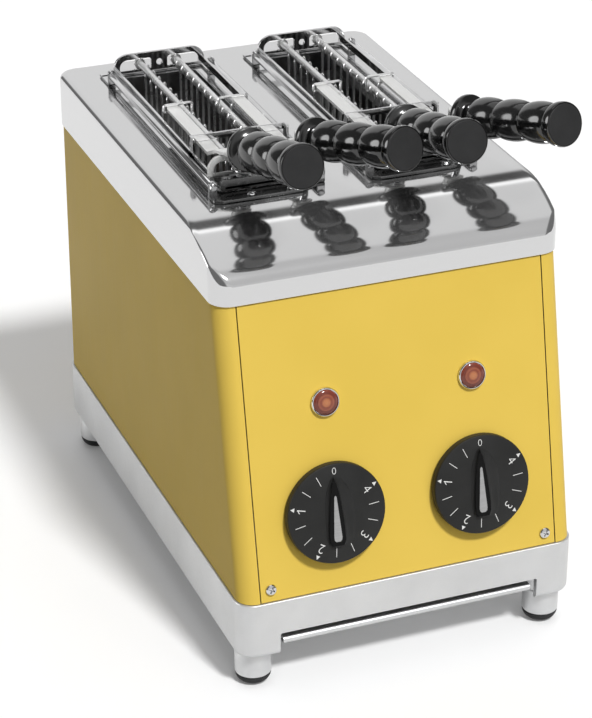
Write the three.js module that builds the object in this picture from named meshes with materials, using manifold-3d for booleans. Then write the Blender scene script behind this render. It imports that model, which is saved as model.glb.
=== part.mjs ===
// Two-slot sandwich toaster with two lift-out spring tongs.
// Millimetres, +Z up, the control panel faces -Y, the feet stand on Z = 0.
// Left and right are as seen by someone who faces the control panel.

import * as THREE from 'three';
import { mergeVertices } from 'three/addons/utils/BufferGeometryUtils.js';
import Module from 'manifold-3d';

// Heights of the stack
const footHeight = 24;
const baseHeight = 37.8;
const shellHeight = 178;
const coverHeight = 36;

// Clearances and cutter overrun
const seatGap = 0.3;
const runningGap = 0.5;
const overrun = 4;

// Base casting
const baseWidth = 220;
const baseDepth = 348;
const baseCornerRadius = 12;
const baseWall = 4;
const baseTopRound = 2;
const notchSideInset = 25.5;
const notchHeight = 15;
const ledgeRise = 2.1;
const ledgeThickness = 4;
const ledgeOverlap = 11.5;
const bossHeight = 12;

// Feet
const footRadius = 11.25;
const footSideInset = 14;
const footEndInset = 17;
const padHeight = 6;
const padFlatRadius = 6;
const padRimRadius = 11;
const padMidShare = 0.67;
const padShoulderShare = 0.25;
const studRadius = 3;
const studLength = 8;

// Crumb tray
const traySideGap = 3;
const traySheet = 0.8;
const trayLipHeight = 4.3;
const trayWallHeight = 7.2;
const trayFrontInset = 2.5;
const trayRearInset = 20;
const trayLipDepth = 7;

// Shell panels
const shellInset = 1.2;
const shellSheet = 1.2;
const shellCornerRadius = 11;
const seamInset = 13.7;
const leanBack = 37.6;

// Top cover
const coverInset = 0.2;
const coverProud = 1.2;
const coverSheet = 1.5;
const coverCornerRadius = 12;
const coverEdgeRadius = 4;
const coverBrow = 58;
const coverFrontSkirt = 13;
const browStartShare = 0.46;
const browEndShare = 0.48;

// Slots in the cover and their collars
const slotWidth = 55;
const slotPitch = 100;
const slotFrontInset = 78.4;
const slotRearInset = 32;
const slotCornerRadius = 3;
const collarSheet = 1;
const collarDepth = 14;

// Rails beside each slot
const railRadius = 2.5;
const railRise = 7;
const railTabWidth = 7;
const railTabHeight = 11;
const railPlate = 2;
const railPlateReach = 12;
const railRearReach = 6;
const railRearTabInset = 12;
const railFrontTabGap = 4.5;
const railEndOverhang = 1.5;
const screwHeadRadius = 3.5;
const screwHeadHeight = 1.6;
const railScrewLeft = 12;
const railScrewRight = 20;

// Bulkheads and heaters
const bulkheadSheet = 1.5;
const frontBulkheadGap = 14;
const rearBulkheadGap = 8;
const heaterRadius = 4;
const heaterSlotGap = 6.5;
const heaterTopDrop = 62;
const heaterSpacing = 60;
const heaterTail = 14;
const heaterRearGap = 6;
const bendHandleShare = 1.33;

// Control panel fittings, placed from the middle of the panel
const controlOffset = 47;
const knobHeightShare = 0.27;
const lampHeightShare = 0.64;
const knobRadius = 31;
const knobRimHeight = 5.5;
const knobRimChamfer = 2.2;
const knobStandOff = 1.6;
const finLength = 49;
const finWidth = 30;
const finTopLength = 40;
const finTopWidth = 8;
const finHeight = 3;
const finFootShares = [
  [0, 1], [-1, 0], [-0.83, -0.67], [-0.41, -1], [0.41, -1], [0.83, -0.67], [1, 0],
];
const finCrestShares = [
  [0, 1], [-0.48, 0.33], [-1, -0.67], [-0.67, -1], [0.67, -1], [1, -0.67], [0.48, 0.33],
];
const shaftRadius = 3;
const shaftInKnob = 6;
const shaftInTimer = 8;
const bushRadius = 5;
const timerWidth = 46;
const timerDepth = 32;
const lampRadius = 9;
const lampRimHeight = 2.4;
const lampRimWidth = 1.1;
const lampRimFlat = 0.3;
const lampSeatHeight = 0.9;
const lampBarrelRadius = 6.4;
const lampBarrelLength = 22;
const lensStemRadius = 4.8;
const lensHeight = 3.4;
const lensDepth = 20;
const lensDomeShares = [[1, 0.45], [0.8, 0.75], [0.45, 0.95]];
const panelScrewSide = 6.8;
const panelScrewRise = 7.8;
const panelScrewRadius = 3.4;
const panelScrewHeight = 1.6;
const panelScrewShank = 1.6;
const panelScrewLength = 9;

// Rear fittings
const glandSideInset = 34.3;
const glandRise = 22;
const glandRadius = 9;
const glandLength = 12;
const glandFlange = 3;
const glandNeckRadius = 6;
const glandNeckLength = 7;
const glandBore = 3.6;
const blockWidth = 38;
const blockDepth = 16;
const blockHeight = 20;
const blockGapToGland = 10;
const blockBore = 1.8;
const blockPoles = 3;

// Tong frame: two bow plates joined by side strips and a bridge
const bowWidth = 62;
const bowHeight = 13;
const bowRise = 5.5;
const bowSheet = 2;
const bowBand = 4;
const bowSill = 2;
const bowCornerRadius = 9;
const bowPostWidth = 11;
const bowHoleRadius = 2;
const bowRearInset = 6;
const bowFrontInset = 13;
const stripSheet = 1.6;
const stripHeight = 5;
const bridgeSheet = 1.6;
const bridgeHeight = 4;
const bridgeBack = 30;
const bracketSheet = 2;
const bracketRise = 4;
const bracketReach = 17;
const bracketInset = 2;
const apronRise = 5;
const apronDrop = 1;
const apronSheet = 1.5;

// Grids
const gridOffset = 12.4;
const barRadius = 2.25;
const barRise = 10;
const nutRadius = 3.6;
const nutLength = 3;
const wireRadius = 1;
const gridDrop = 135;
const gridEndInset = 8;
const gridRailRadius = 1.3;
const gridShelf = 8;
const wireCount = 16;
const clipRadius = 0.9;
const clipBack = 100;

// Levers, pins and grips
const pinRadius = 2.5;
const pinHeadRadius = 3.5;
const pinHeadHeight = 1.5;
const pinSetback = 10;
const leftPinOffset = 12;
const rightPinInset = 4;
const eyeRadius = 6;
const eyeHeight = 8.6;
const leverWidth = 7;
const leverSheet = 2;
const leverInside = 19;
const leverRiseOverBar = 1.55;
const leverOverBow = 0.8;
const leverDescent = 12;
const leverEndPastClip = 3.5;
const leverShoulder = 3;
const gripTiltDegrees = 15;
const gripSplayDegrees = 14.5;
const gripSetback = 8;
const gripLength = 92;
const collarRadius = 13.4;
const collarLength = 4.5;
const collarRound = 1.3;
const neckRadius = 8.6;
const neckLength = 5.4;
const bulgeRadius = 12.6;
const valleyRadius = 9.9;
const capRadius = 13.4;
const capLength = 8.4;
const bulgeCount = 3;
const collarShares = [[0.9, 0], [1, 0.33], [1, 1]];
const bulgeShares = [[0.93, 0.2], [1, 0.5], [0.93, 0.8]];
const capShares = [[0.96, 0.25], [1, 0.7], [0.97, 1]];
const tangRadius = 3.5;
const tangLength = 46;

// Torsion spring round the left pin
const springWireRadius = 0.7;
const springRadius = 4.4;
const springTurns = 4;
const springPitch = 2.5;
const springLeg = 7;

// Facets of round pieces
const wireSides = 4;
const rodSides = 8;
const smallSides = 12;
const gripSides = 14;
const knobSides = 36;
const lampSides = 24;
const cornerSteps = 4;
const browSteps = 10;
const heaterSides = 6;
const heaterSteps = 22;
const springSteps = 34;
const springSides = 5;

// Levels and faces worked out from the sizes above
const baseTop = footHeight + baseHeight;
const shellTop = baseTop + shellHeight;
const coverTop = shellTop + coverHeight;
const halfWidth = baseWidth / 2;
const halfDepth = baseDepth / 2;
const shellHalf = halfWidth - shellInset;
const shellFront = -halfDepth + shellInset;
const shellBack = halfDepth - shellInset;
const innerHalf = shellHalf - shellSheet;
const lean = Math.atan2(leanBack, shellHeight);
const panelLength = Math.hypot(leanBack, shellHeight);
const coverFront = shellFront + leanBack - coverProud;
const coverBack = halfDepth - coverInset;
const slotFront = coverFront + slotFrontInset;
const slotBack = halfDepth - slotRearInset;
const slotHalf = slotWidth / 2;
const notchHalf = halfWidth - notchSideInset;
const trayHalf = notchHalf - traySideGap;
const ledgeTop = footHeight + ledgeRise + ledgeThickness;
const trayBottom = ledgeTop + seatGap;
const frontBulkhead = slotFront - frontBulkheadGap;
const rearBulkhead = slotBack + rearBulkheadGap;
const heaterOffset = slotHalf + heaterSlotGap;
const frontBow = slotFront + bowFrontInset;
const rearBow = slotBack - bowRearInset;
const bowTop = bowRise + bowHeight;
const railOffset = bowWidth / 2 + runningGap + railRadius;
const pinY = frontBow - pinSetback;
const rightPinOffset = bowWidth / 2 - rightPinInset;
const leverLow = barRise + barRadius + leverRiseOverBar;
const leverHigh = bowTop + leverOverBow;
const clipY = pinY + clipBack;
const gripTilt = THREE.MathUtils.degToRad(gripTiltDegrees);
const gripSplay = THREE.MathUtils.degToRad(gripSplayDegrees);
const gripStartRise = leverHigh + eyeHeight;

const wasm = await Module();
wasm.setup();

// Joining and cutting closed meshes

function toSolid(geometry) {
  const bare = geometry.clone();
  bare.deleteAttribute('normal');
  bare.deleteAttribute('uv');
  const merged = mergeVertices(bare);
  const mesh = new wasm.Mesh({
    numProp: 3,
    vertProperties: new Float32Array(merged.attributes.position.array),
    triVerts: new Uint32Array(merged.index.array),
  });
  return new wasm.Manifold(mesh);
}

function toGeometry(solid) {
  const mesh = solid.getMesh();
  const geometry = new THREE.BufferGeometry();
  geometry.setAttribute('position', new THREE.BufferAttribute(mesh.vertProperties, 3));
  geometry.setIndex(new THREE.BufferAttribute(mesh.triVerts, 1));
  geometry.computeVertexNormals();
  return geometry;
}

function join(pieces) {
  let result = toSolid(pieces[0]);
  for (const piece of pieces.slice(1)) {
    result = result.add(toSolid(piece));
  }
  return toGeometry(result);
}

function cut(body, cutters) {
  let result = toSolid(body);
  for (const cutter of cutters) {
    result = result.subtract(toSolid(cutter));
  }
  return toGeometry(result);
}

function common(pieces) {
  let result = toSolid(pieces[0]);
  for (const piece of pieces.slice(1)) {
    result = result.intersect(toSolid(piece));
  }
  return toGeometry(result);
}

// Basic closed forms

const axisX = new THREE.Vector3(1, 0, 0);
const axisY = new THREE.Vector3(0, 1, 0);
const axisZ = new THREE.Vector3(0, 0, 1);

function block(xRange, yRange, zRange) {
  const [x0, x1] = xRange;
  const [y0, y1] = yRange;
  const [z0, z1] = zRange;
  const geometry = new THREE.BoxGeometry(x1 - x0, y1 - y0, z1 - z0);
  return geometry.translate((x0 + x1) / 2, (y0 + y1) / 2, (z0 + z1) / 2);
}

function rod(start, end, radius, sides) {
  const along = new THREE.Vector3().subVectors(end, start);
  const geometry = new THREE.CylinderGeometry(radius, radius, along.length(), sides);
  const turn = new THREE.Quaternion().setFromUnitVectors(axisY, along.clone().normalize());
  geometry.applyQuaternion(turn);
  const middle = new THREE.Vector3().addVectors(start, end).multiplyScalar(0.5);
  return geometry.translate(middle.x, middle.y, middle.z);
}

function upright(x, y, z0, z1, radius, sides) {
  return rod(new THREE.Vector3(x, y, z0), new THREE.Vector3(x, y, z1), radius, sides);
}

function point(x, y, z) {
  return new THREE.Vector3(x, y, z);
}

// A turned piece: pairs of radius and height, from the axis back to the axis, about Z
function turned(profile, sides) {
  const points = profile.map(([radius, height]) => new THREE.Vector2(radius, height));
  const geometry = new THREE.LatheGeometry(points, sides);
  return geometry.rotateX(Math.PI / 2);
}

function outline(points) {
  return new THREE.Shape(points.map(([u, v]) => new THREE.Vector2(u, v)));
}

function extruded(shape, depth) {
  return new THREE.ExtrudeGeometry(shape, { depth, bevelEnabled: false, curveSegments: cornerSteps });
}

// Extrudes a plan outline upwards from z0 to z1
function plan(shape, z0, z1) {
  return extruded(shape, z1 - z0).translate(0, 0, z0);
}

// Extrudes an outline of (y, z) sideways from x0 to x1
function sideways(shape, x0, x1) {
  const geometry = extruded(shape, x1 - x0);
  geometry.applyMatrix4(new THREE.Matrix4().makeBasis(axisY, axisZ, axisX));
  return geometry.translate(x0, 0, 0);
}

// Extrudes an outline of (x, z) lengthways from y0 to y1
function lengthways(shape, y0, y1) {
  const geometry = extruded(shape, y1 - y0);
  geometry.applyMatrix4(new THREE.Matrix4().makeBasis(axisX, axisZ, axisY.clone().negate()));
  return geometry.translate(0, y1, 0);
}

function roundedRectangle(x0, x1, y0, y1, radius) {
  const shape = new THREE.Shape();
  shape.absarc(x1 - radius, y0 + radius, radius, -Math.PI / 2, 0, false);
  shape.absarc(x1 - radius, y1 - radius, radius, 0, Math.PI / 2, false);
  shape.absarc(x0 + radius, y1 - radius, radius, Math.PI / 2, Math.PI, false);
  shape.absarc(x0 + radius, y0 + radius, radius, Math.PI, Math.PI * 1.5, false);
  return shape;
}

// Moves points back in proportion to their height up the shell, in front of the middle only
function leaned(geometry) {
  const position = geometry.attributes.position;
  for (let i = 0; i < position.count; i += 1) {
    if (position.getY(i) < 0) {
      const rise = position.getZ(i) - baseTop;
      position.setY(i, position.getY(i) + (rise * leanBack) / shellHeight);
    }
  }
  geometry.computeVertexNormals();
  return geometry;
}

// Finishes
const finishes = {
  casting: { color: 0xc9cacb, roughness: 0.45, metalness: 0.9 },
  gold: { color: 0xc9a33a, roughness: 0.38, metalness: 0.85 },
  mirror: { color: 0xd6d6d6, roughness: 0.08, metalness: 1 },
  bright: { color: 0xc4c4c4, roughness: 0.2, metalness: 1 },
  sheet: { color: 0xa9a9a9, roughness: 0.4, metalness: 0.9 },
  plate: { color: 0xcfcfcd, roughness: 0.35, metalness: 0.8 },
  rubber: { color: 0x222222, roughness: 0.85, metalness: 0 },
  knob: { color: 0x353535, roughness: 0.55, metalness: 0 },
  grip: { color: 0x161616, roughness: 0.15, metalness: 0 },
  lens: { color: 0xb4532a, roughness: 0.2, metalness: 0 },
  plastic: { color: 0xb9b4a8, roughness: 0.6, metalness: 0 },
  heater: { color: 0x6b655e, roughness: 0.6, metalness: 0.6 },
};

function piece(name, geometry, finish) {
  const mesh = new THREE.Mesh(geometry, new THREE.MeshStandardMaterial(finishes[finish]));
  mesh.name = name;
  return mesh;
}

const model = new THREE.Group();

// Base casting: a ring of wall with tray ledges and a boss over each foot
function footPlaces() {
  const x = halfWidth - footSideInset;
  const y = halfDepth - footEndInset;
  return [
    ['front_left', -x, -y],
    ['front_right', x, -y],
    ['rear_left', -x, y],
    ['rear_right', x, y],
  ];
}

function baseFrame() {
  const wallTop = baseTop - seatGap;
  const outer = roundedRectangle(-halfWidth, halfWidth, -halfDepth, halfDepth, baseCornerRadius);
  const inX = halfWidth - baseWall;
  const inY = halfDepth - baseWall;
  const inner = roundedRectangle(-inX, inX, -inY, inY, baseCornerRadius - baseWall);
  const lowWall = plan(outer, footHeight, wallTop - baseTopRound);
  const rimX = halfWidth - baseTopRound / 2;
  const rimY = halfDepth - baseTopRound / 2;
  const rimRadius = baseCornerRadius - baseTopRound / 2;
  const rim = plan(roundedRectangle(-rimX, rimX, -rimY, rimY, rimRadius), wallTop - baseTopRound, wallTop);
  const cavity = plan(inner, footHeight - overrun, wallTop + overrun);
  const notch = block(
    [-notchHalf, notchHalf],
    [-halfDepth - overrun, -inY + overrun],
    [footHeight - overrun, footHeight + notchHeight],
  );
  const pieces = [cut(join([lowWall, rim]), [cavity, notch])];
  const ledgeRange = [footHeight + ledgeRise, ledgeTop];
  for (const side of [-1, 1]) {
    const edges = [side * (trayHalf - ledgeOverlap), side * (halfWidth - baseWall / 2)];
    edges.sort((a, b) => a - b);
    pieces.push(block(edges, [-inY, inY + baseWall / 2], ledgeRange));
  }
  const holes = [];
  for (const [, x, y] of footPlaces()) {
    pieces.push(upright(x, y, footHeight, footHeight + bossHeight, footRadius, smallSides));
    const holeTop = footHeight + studLength + seatGap;
    holes.push(upright(x, y, footHeight - overrun, holeTop, studRadius + seatGap, rodSides));
  }
  return cut(join(pieces), holes);
}

model.add(piece('base_frame', baseFrame(), 'casting'));

function foot() {
  const top = footHeight - seatGap;
  const bottom = padHeight + seatGap;
  return turned([
    [0, bottom],
    [footRadius, bottom],
    [footRadius, top],
    [studRadius, top],
    [studRadius, top + studLength],
    [0, top + studLength],
  ], smallSides);
}

function pad() {
  const shoulder = padHeight * padShoulderShare;
  const midRadius = padFlatRadius + (padRimRadius - padFlatRadius) * padMidShare;
  return turned([
    [0, 0],
    [padFlatRadius, 0],
    [midRadius, shoulder],
    [padRimRadius, padHeight - shoulder],
    [padRimRadius, padHeight],
    [0, padHeight],
  ], smallSides);
}

for (const [place, x, y] of footPlaces()) {
  const stand = new THREE.Group();
  stand.position.set(x, y, 0);
  stand.add(piece(`foot_${place}`, foot(), 'casting'));
  stand.add(piece(`foot_pad_${place}`, pad(), 'rubber'));
  model.add(stand);
}

// Crumb tray: a shallow pan with a hemmed front lip
function crumbTray() {
  const front = -halfDepth + trayFrontInset;
  const back = halfDepth - trayRearInset;
  const panFront = front + trayLipDepth;
  const pan = cut(
    block([-trayHalf, trayHalf], [panFront - traySheet, back], [trayBottom, trayBottom + trayWallHeight]),
    [block(
      [-trayHalf + traySheet, trayHalf - traySheet],
      [panFront, back - traySheet],
      [trayBottom + traySheet, trayBottom + trayWallHeight + overrun],
    )],
  );
  const radius = trayLipHeight / 2;
  const middle = trayBottom + radius;
  const hem = new THREE.Shape();
  hem.moveTo(panFront - traySheet / 2, trayBottom);
  hem.lineTo(panFront - traySheet / 2, trayBottom + trayLipHeight);
  hem.absarc(front + radius, middle, radius, Math.PI / 2, Math.PI * 1.5, false);
  return join([pan, sideways(hem, -trayHalf, trayHalf)]);
}

model.add(piece('crumb_tray', crumbTray(), 'sheet'));

// Side panels: sheet that wraps round the front and rear corners
function sidePanel(side) {
  const outerRadius = shellCornerRadius;
  const innerRadius = outerRadius - shellSheet;
  const edge = shellHalf - seamInset + shellInset;
  const cornerX = shellHalf - outerRadius;
  const low = shellFront + outerRadius;
  const high = shellBack - outerRadius;
  const shape = new THREE.Shape();
  shape.moveTo(edge, shellFront + shellSheet);
  shape.lineTo(edge, shellFront);
  shape.absarc(cornerX, low, outerRadius, -Math.PI / 2, 0, false);
  shape.absarc(cornerX, high, outerRadius, 0, Math.PI / 2, false);
  shape.lineTo(edge, shellBack);
  shape.lineTo(edge, shellBack - shellSheet);
  shape.absarc(cornerX, high, innerRadius, Math.PI / 2, 0, true);
  shape.absarc(cornerX, low, innerRadius, 0, -Math.PI / 2, true);
  const geometry = leaned(plan(shape, baseTop, shellTop));
  if (side < 0) {
    geometry.scale(-1, 1, 1);
    reverseFaces(geometry);
  }
  return geometry;
}

function reverseFaces(geometry) {
  const position = geometry.attributes.position;
  const a = new THREE.Vector3();
  const b = new THREE.Vector3();
  for (let i = 0; i < position.count; i += 3) {
    a.fromBufferAttribute(position, i);
    b.fromBufferAttribute(position, i + 1);
    position.setXYZ(i, b.x, b.y, b.z);
    position.setXYZ(i + 1, a.x, a.y, a.z);
  }
  geometry.computeVertexNormals();
}

model.add(piece('side_panel_left', sidePanel(-1), 'gold'));
model.add(piece('side_panel_right', sidePanel(1), 'gold'));

// Back panel with a hole for the cable gland
const seamHalf = shellHalf - seamInset + shellInset;
const glandX = seamHalf - glandSideInset;
const glandZ = baseTop + glandRise;

function backPanel() {
  const sheet = block(
    [-seamHalf + seatGap, seamHalf - seatGap],
    [shellBack - shellSheet, shellBack],
    [baseTop, shellTop],
  );
  const hole = rod(
    point(glandX, shellBack - overrun, glandZ),
    point(glandX, shellBack + overrun, glandZ),
    glandNeckRadius + seatGap,
    smallSides,
  );
  return cut(sheet, [hole]);
}

model.add(piece('back_panel', backPanel(), 'gold'));

function cableGland() {
  return turned([
    [glandBore, -glandNeckLength],
    [glandNeckRadius, -glandNeckLength],
    [glandNeckRadius, 0],
    [glandRadius, 0],
    [glandRadius, glandFlange],
    [glandNeckRadius, glandLength],
    [glandBore, glandLength],
    [glandBore, -glandNeckLength],
  ], smallSides);
}

const gland = piece('cable_gland', cableGland(), 'rubber');
gland.position.set(glandX, shellBack + seatGap, glandZ);
gland.rotation.x = -Math.PI / 2;
model.add(gland);

function terminalBlock() {
  const x = glandX - glandNeckRadius - blockGapToGland;
  const back = shellBack - shellSheet - seatGap;
  const zRange = [glandZ - blockHeight / 2, glandZ + blockHeight / 2];
  const body = block([x - blockWidth, x], [back - blockDepth, back], zRange);
  const bores = [];
  for (let i = 0; i < blockPoles; i += 1) {
    const poleX = x - (blockWidth * (i + 0.5)) / blockPoles;
    bores.push(rod(
      point(poleX, back - blockDepth - overrun, glandZ),
      point(poleX, back - blockDepth / 2, glandZ),
      blockBore,
      rodSides,
    ));
  }
  return cut(body, bores);
}

model.add(piece('terminal_block', terminalBlock(), 'plastic'));

// Top cover: a pressed cap with a rounded brow at the front and two slots
function coverForm(inset, drop) {
  const top = coverTop - inset;
  const bottom = shellTop + seatGap - drop;
  const front = coverFront + inset;
  const back = coverBack - inset;
  const half = halfWidth - coverInset - inset;
  const edge = coverEdgeRadius;
  const side = new THREE.Shape();
  side.moveTo(front, bottom);
  side.lineTo(back, bottom);
  side.absarc(back - edge, top - edge, edge, 0, Math.PI / 2, false);
  const browStart = front + coverBrow;
  const browFoot = shellTop + coverFrontSkirt;
  side.lineTo(browStart, top);
  const curve = new THREE.CubicBezierCurve(
    new THREE.Vector2(browStart, top),
    new THREE.Vector2(browStart - coverBrow * browStartShare, top),
    new THREE.Vector2(front, browFoot + (top - browFoot) * browEndShare),
    new THREE.Vector2(front, browFoot),
  );
  for (const p of curve.getPoints(browSteps).slice(1)) {
    side.lineTo(p.x, p.y);
  }
  const across = new THREE.Shape();
  across.moveTo(-half, bottom);
  across.lineTo(half, bottom);
  across.absarc(half - edge, top - edge, edge, 0, Math.PI / 2, false);
  across.absarc(-half + edge, top - edge, edge, Math.PI / 2, Math.PI, false);
  const footprint = roundedRectangle(-half, half, front, back, coverCornerRadius - inset);
  return common([
    sideways(side, -half, half),
    lengthways(across, front, back),
    plan(footprint, bottom, top),
  ]);
}

const slotCentres = [['left', -slotPitch / 2], ['right', slotPitch / 2]];

function slotOutline(x, inset) {
  const half = slotHalf - inset;
  return roundedRectangle(x - half, x + half, slotFront + inset, slotBack - inset, slotCornerRadius);
}

function topCover() {
  const slots = slotCentres.map(([, x]) => plan(slotOutline(x, 0), shellTop, coverTop + overrun));
  return cut(coverForm(0, 0), [coverForm(coverSheet, overrun), ...slots]);
}

model.add(piece('top_cover', topCover(), 'mirror'));

function slotCollar() {
  const bottom = -collarDepth;
  const outer = plan(slotOutline(0, seatGap), bottom, 0);
  const inner = plan(slotOutline(0, seatGap + collarSheet), bottom - overrun, overrun);
  return cut(outer, [inner]);
}

// Rails: two rods in end tabs on a plate at each end of the slot
function screwHead(x, y, z) {
  const geometry = turned([
    [0, 0],
    [screwHeadRadius, 0],
    [screwHeadRadius, screwHeadHeight / 2],
    [screwHeadRadius / 2, screwHeadHeight],
    [0, screwHeadHeight],
  ], rodSides);
  return geometry.translate(x, y, z);
}

const railFrontTab = slotFront - railFrontTabGap;
const railRearTab = slotBack - railRearTabInset;

function slotRails() {
  const tabIn = bowWidth / 2 + runningGap;
  const tabOut = tabIn + railTabWidth;
  const plateZ = [seatGap, seatGap + railPlate];
  const tabZ = [seatGap, railTabHeight];
  const rearEnd = slotBack + railPlate + railRearReach;
  const pieces = [
    block([-tabOut, tabOut], [railFrontTab - railPlateReach, railFrontTab], plateZ),
    block([-tabOut, tabOut], [rearEnd - railRearReach, rearEnd], plateZ),
  ];
  for (const side of [-1, 1]) {
    const x = [side * tabIn, side * tabOut].sort((a, b) => a - b);
    pieces.push(block(x, [railFrontTab - railPlate, railFrontTab], tabZ));
    pieces.push(block(x, [railRearTab, railRearTab + railPlate], tabZ));
    pieces.push(block(x, [railRearTab, rearEnd - railRearReach / 2], plateZ));
    pieces.push(rod(
      point(side * railOffset, railFrontTab - railPlate - railEndOverhang, railRise),
      point(side * railOffset, railRearTab + railPlate + railEndOverhang, railRise),
      railRadius,
      rodSides,
    ));
  }
  const screwY = railFrontTab - railPlateReach / 2 - railPlate / 2;
  pieces.push(screwHead(-railScrewLeft, screwY, railPlate));
  pieces.push(screwHead(railScrewRight, screwY, railPlate));
  return join(pieces);
}

for (const [place, x] of slotCentres) {
  const fittings = new THREE.Group();
  fittings.position.set(x, 0, coverTop);
  fittings.add(piece(`slot_collar_${place}`, slotCollar(), 'bright'));
  fittings.add(piece(`slot_rails_${place}`, slotRails(), 'bright'));
  model.add(fittings);
}

// Bulkheads carry the heaters between the two side panels
const heaterBanks = [
  ['outer_left', -slotPitch / 2 - heaterOffset],
  ['inner_left', -slotPitch / 2 + heaterOffset],
  ['inner_right', slotPitch / 2 - heaterOffset],
  ['outer_right', slotPitch / 2 + heaterOffset],
];
const heaterTop = coverTop - heaterTopDrop;
const heaterBottom = heaterTop - heaterSpacing;

function bulkhead(y, withHoles) {
  const half = innerHalf - seatGap;
  const top = coverTop - coverSheet - seatGap;
  const shape = outline([
    [-half, baseTop],
    [half, baseTop],
    [half, top - coverEdgeRadius],
    [half - coverEdgeRadius, top],
    [-half + coverEdgeRadius, top],
    [-half, top - coverEdgeRadius],
  ]);
  const sheet = lengthways(shape, y, y + bulkheadSheet);
  if (!withHoles) {
    return sheet;
  }
  const holes = [];
  for (const [, x] of heaterBanks) {
    for (const z of [heaterTop, heaterBottom]) {
      const start = point(x, y - overrun, z);
      holes.push(rod(start, point(x, y + overrun, z), heaterRadius + seatGap, rodSides));
    }
  }
  return cut(sheet, holes);
}

model.add(piece('front_bulkhead', bulkhead(frontBulkhead - bulkheadSheet, true), 'sheet'));
model.add(piece('rear_bulkhead', bulkhead(rearBulkhead, false), 'sheet'));

// Each heater is a hairpin of metal-sheathed element, both ends through the front bulkhead
function heater() {
  const start = frontBulkhead - heaterTail;
  const bend = heaterSpacing / 2;
  const turnY = rearBulkhead - heaterRearGap - heaterRadius - bend;
  const path = new THREE.CurvePath();
  path.add(new THREE.LineCurve3(point(0, start, heaterTop), point(0, turnY, heaterTop)));
  const handle = bend * bendHandleShare;
  path.add(new THREE.CubicBezierCurve3(
    point(0, turnY, heaterTop),
    point(0, turnY + handle, heaterTop),
    point(0, turnY + handle, heaterBottom),
    point(0, turnY, heaterBottom),
  ));
  path.add(new THREE.LineCurve3(point(0, turnY, heaterBottom), point(0, start, heaterBottom)));
  const section = new THREE.Shape();
  section.absarc(0, 0, heaterRadius, 0, Math.PI * 2, false);
  const ring = new THREE.Shape(section.getSpacedPoints(heaterSides).slice(0, heaterSides));
  return new THREE.ExtrudeGeometry(ring, { steps: heaterSteps, extrudePath: path });
}

for (const [place, x] of heaterBanks) {
  const element = piece(`heater_${place}`, heater(), 'heater');
  element.position.x = x;
  model.add(element);
}

// Control panel: its group leans with the shell; local X across, Y up the slope, Z outwards
const controls = new THREE.Group();
controls.position.set(0, shellFront, baseTop);
controls.rotation.x = Math.PI / 2 - lean;
model.add(controls);

const knobUp = panelLength * knobHeightShare;
const lampUp = panelLength * lampHeightShare;
const controlSides = [['left', -controlOffset], ['right', controlOffset]];
const panelScrewX = seamHalf - panelScrewSide;

function frontPanel() {
  const sheet = block(
    [-seamHalf + seatGap, seamHalf - seatGap],
    [seatGap, panelLength - seatGap],
    [-shellSheet, 0],
  );
  const holes = [];
  for (const [, x] of controlSides) {
    holes.push(upright(x, knobUp, -overrun, overrun, bushRadius + seatGap, smallSides));
    holes.push(upright(x, lampUp, -overrun, overrun, lampBarrelRadius + seatGap, smallSides));
  }
  for (const side of [-1, 1]) {
    const radius = panelScrewShank + seatGap;
    holes.push(upright(side * panelScrewX, panelScrewRise, -overrun, overrun, radius, rodSides));
  }
  return cut(sheet, holes);
}

controls.add(piece('front_panel', frontPanel(), 'gold'));

// Knob: a bevelled disc with a low pointer ridge, bored for its shaft
function knobFin() {
  const base = finFootShares.map(([u, v]) => [(u * finWidth) / 2, (v * finLength) / 2]);
  const top = finCrestShares.map(([u, v]) => [(u * finTopWidth) / 2, (v * finTopLength) / 2]);
  const low = knobRimHeight / 2;
  const high = knobRimHeight + finHeight;
  const corners = [];
  const faces = [];
  const count = base.length;
  for (let i = 0; i < count; i += 1) {
    corners.push(base[i][0], base[i][1], low);
    corners.push(top[i][0], top[i][1], high);
  }
  for (let i = 0; i < count; i += 1) {
    const a = 2 * i;
    const b = 2 * ((i + 1) % count);
    faces.push(a, b, a + 1, b, b + 1, a + 1);
  }
  for (let i = 1; i < count - 1; i += 1) {
    faces.push(0, 2 * (i + 1), 2 * i);
    faces.push(1, 2 * i + 1, 2 * (i + 1) + 1);
  }
  const geometry = new THREE.BufferGeometry();
  geometry.setAttribute('position', new THREE.Float32BufferAttribute(corners, 3));
  geometry.setIndex(faces);
  return geometry;
}

function knob() {
  const disc = turned([
    [0, 0],
    [knobRadius, 0],
    [knobRadius, knobRimHeight - knobRimChamfer],
    [knobRadius - knobRimChamfer, knobRimHeight],
    [0, knobRimHeight],
  ], knobSides);
  const bore = upright(0, 0, -overrun, shaftInKnob + seatGap, shaftRadius + seatGap, rodSides);
  return cut(join([disc, knobFin()]), [bore]);
}

function timerBody() {
  const half = timerWidth / 2;
  const front = -shellSheet - seatGap;
  const box = block([-half, half], [-half, half], [front - timerDepth, front]);
  const bush = upright(0, 0, front - bushRadius, 0, bushRadius, smallSides);
  const socket = upright(0, 0, front - shaftInTimer, overrun, shaftRadius + seatGap, rodSides);
  return cut(join([box, bush]), [socket]);
}

function knobShaft() {
  const low = -shellSheet - shaftInTimer;
  return upright(0, 0, low, knobStandOff + shaftInKnob, shaftRadius, rodSides);
}

// Pilot lamp: a chrome bezel with a barrel through the panel, and a domed lens on a stem
const lampRecess = lampRadius - lampRimWidth;

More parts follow.
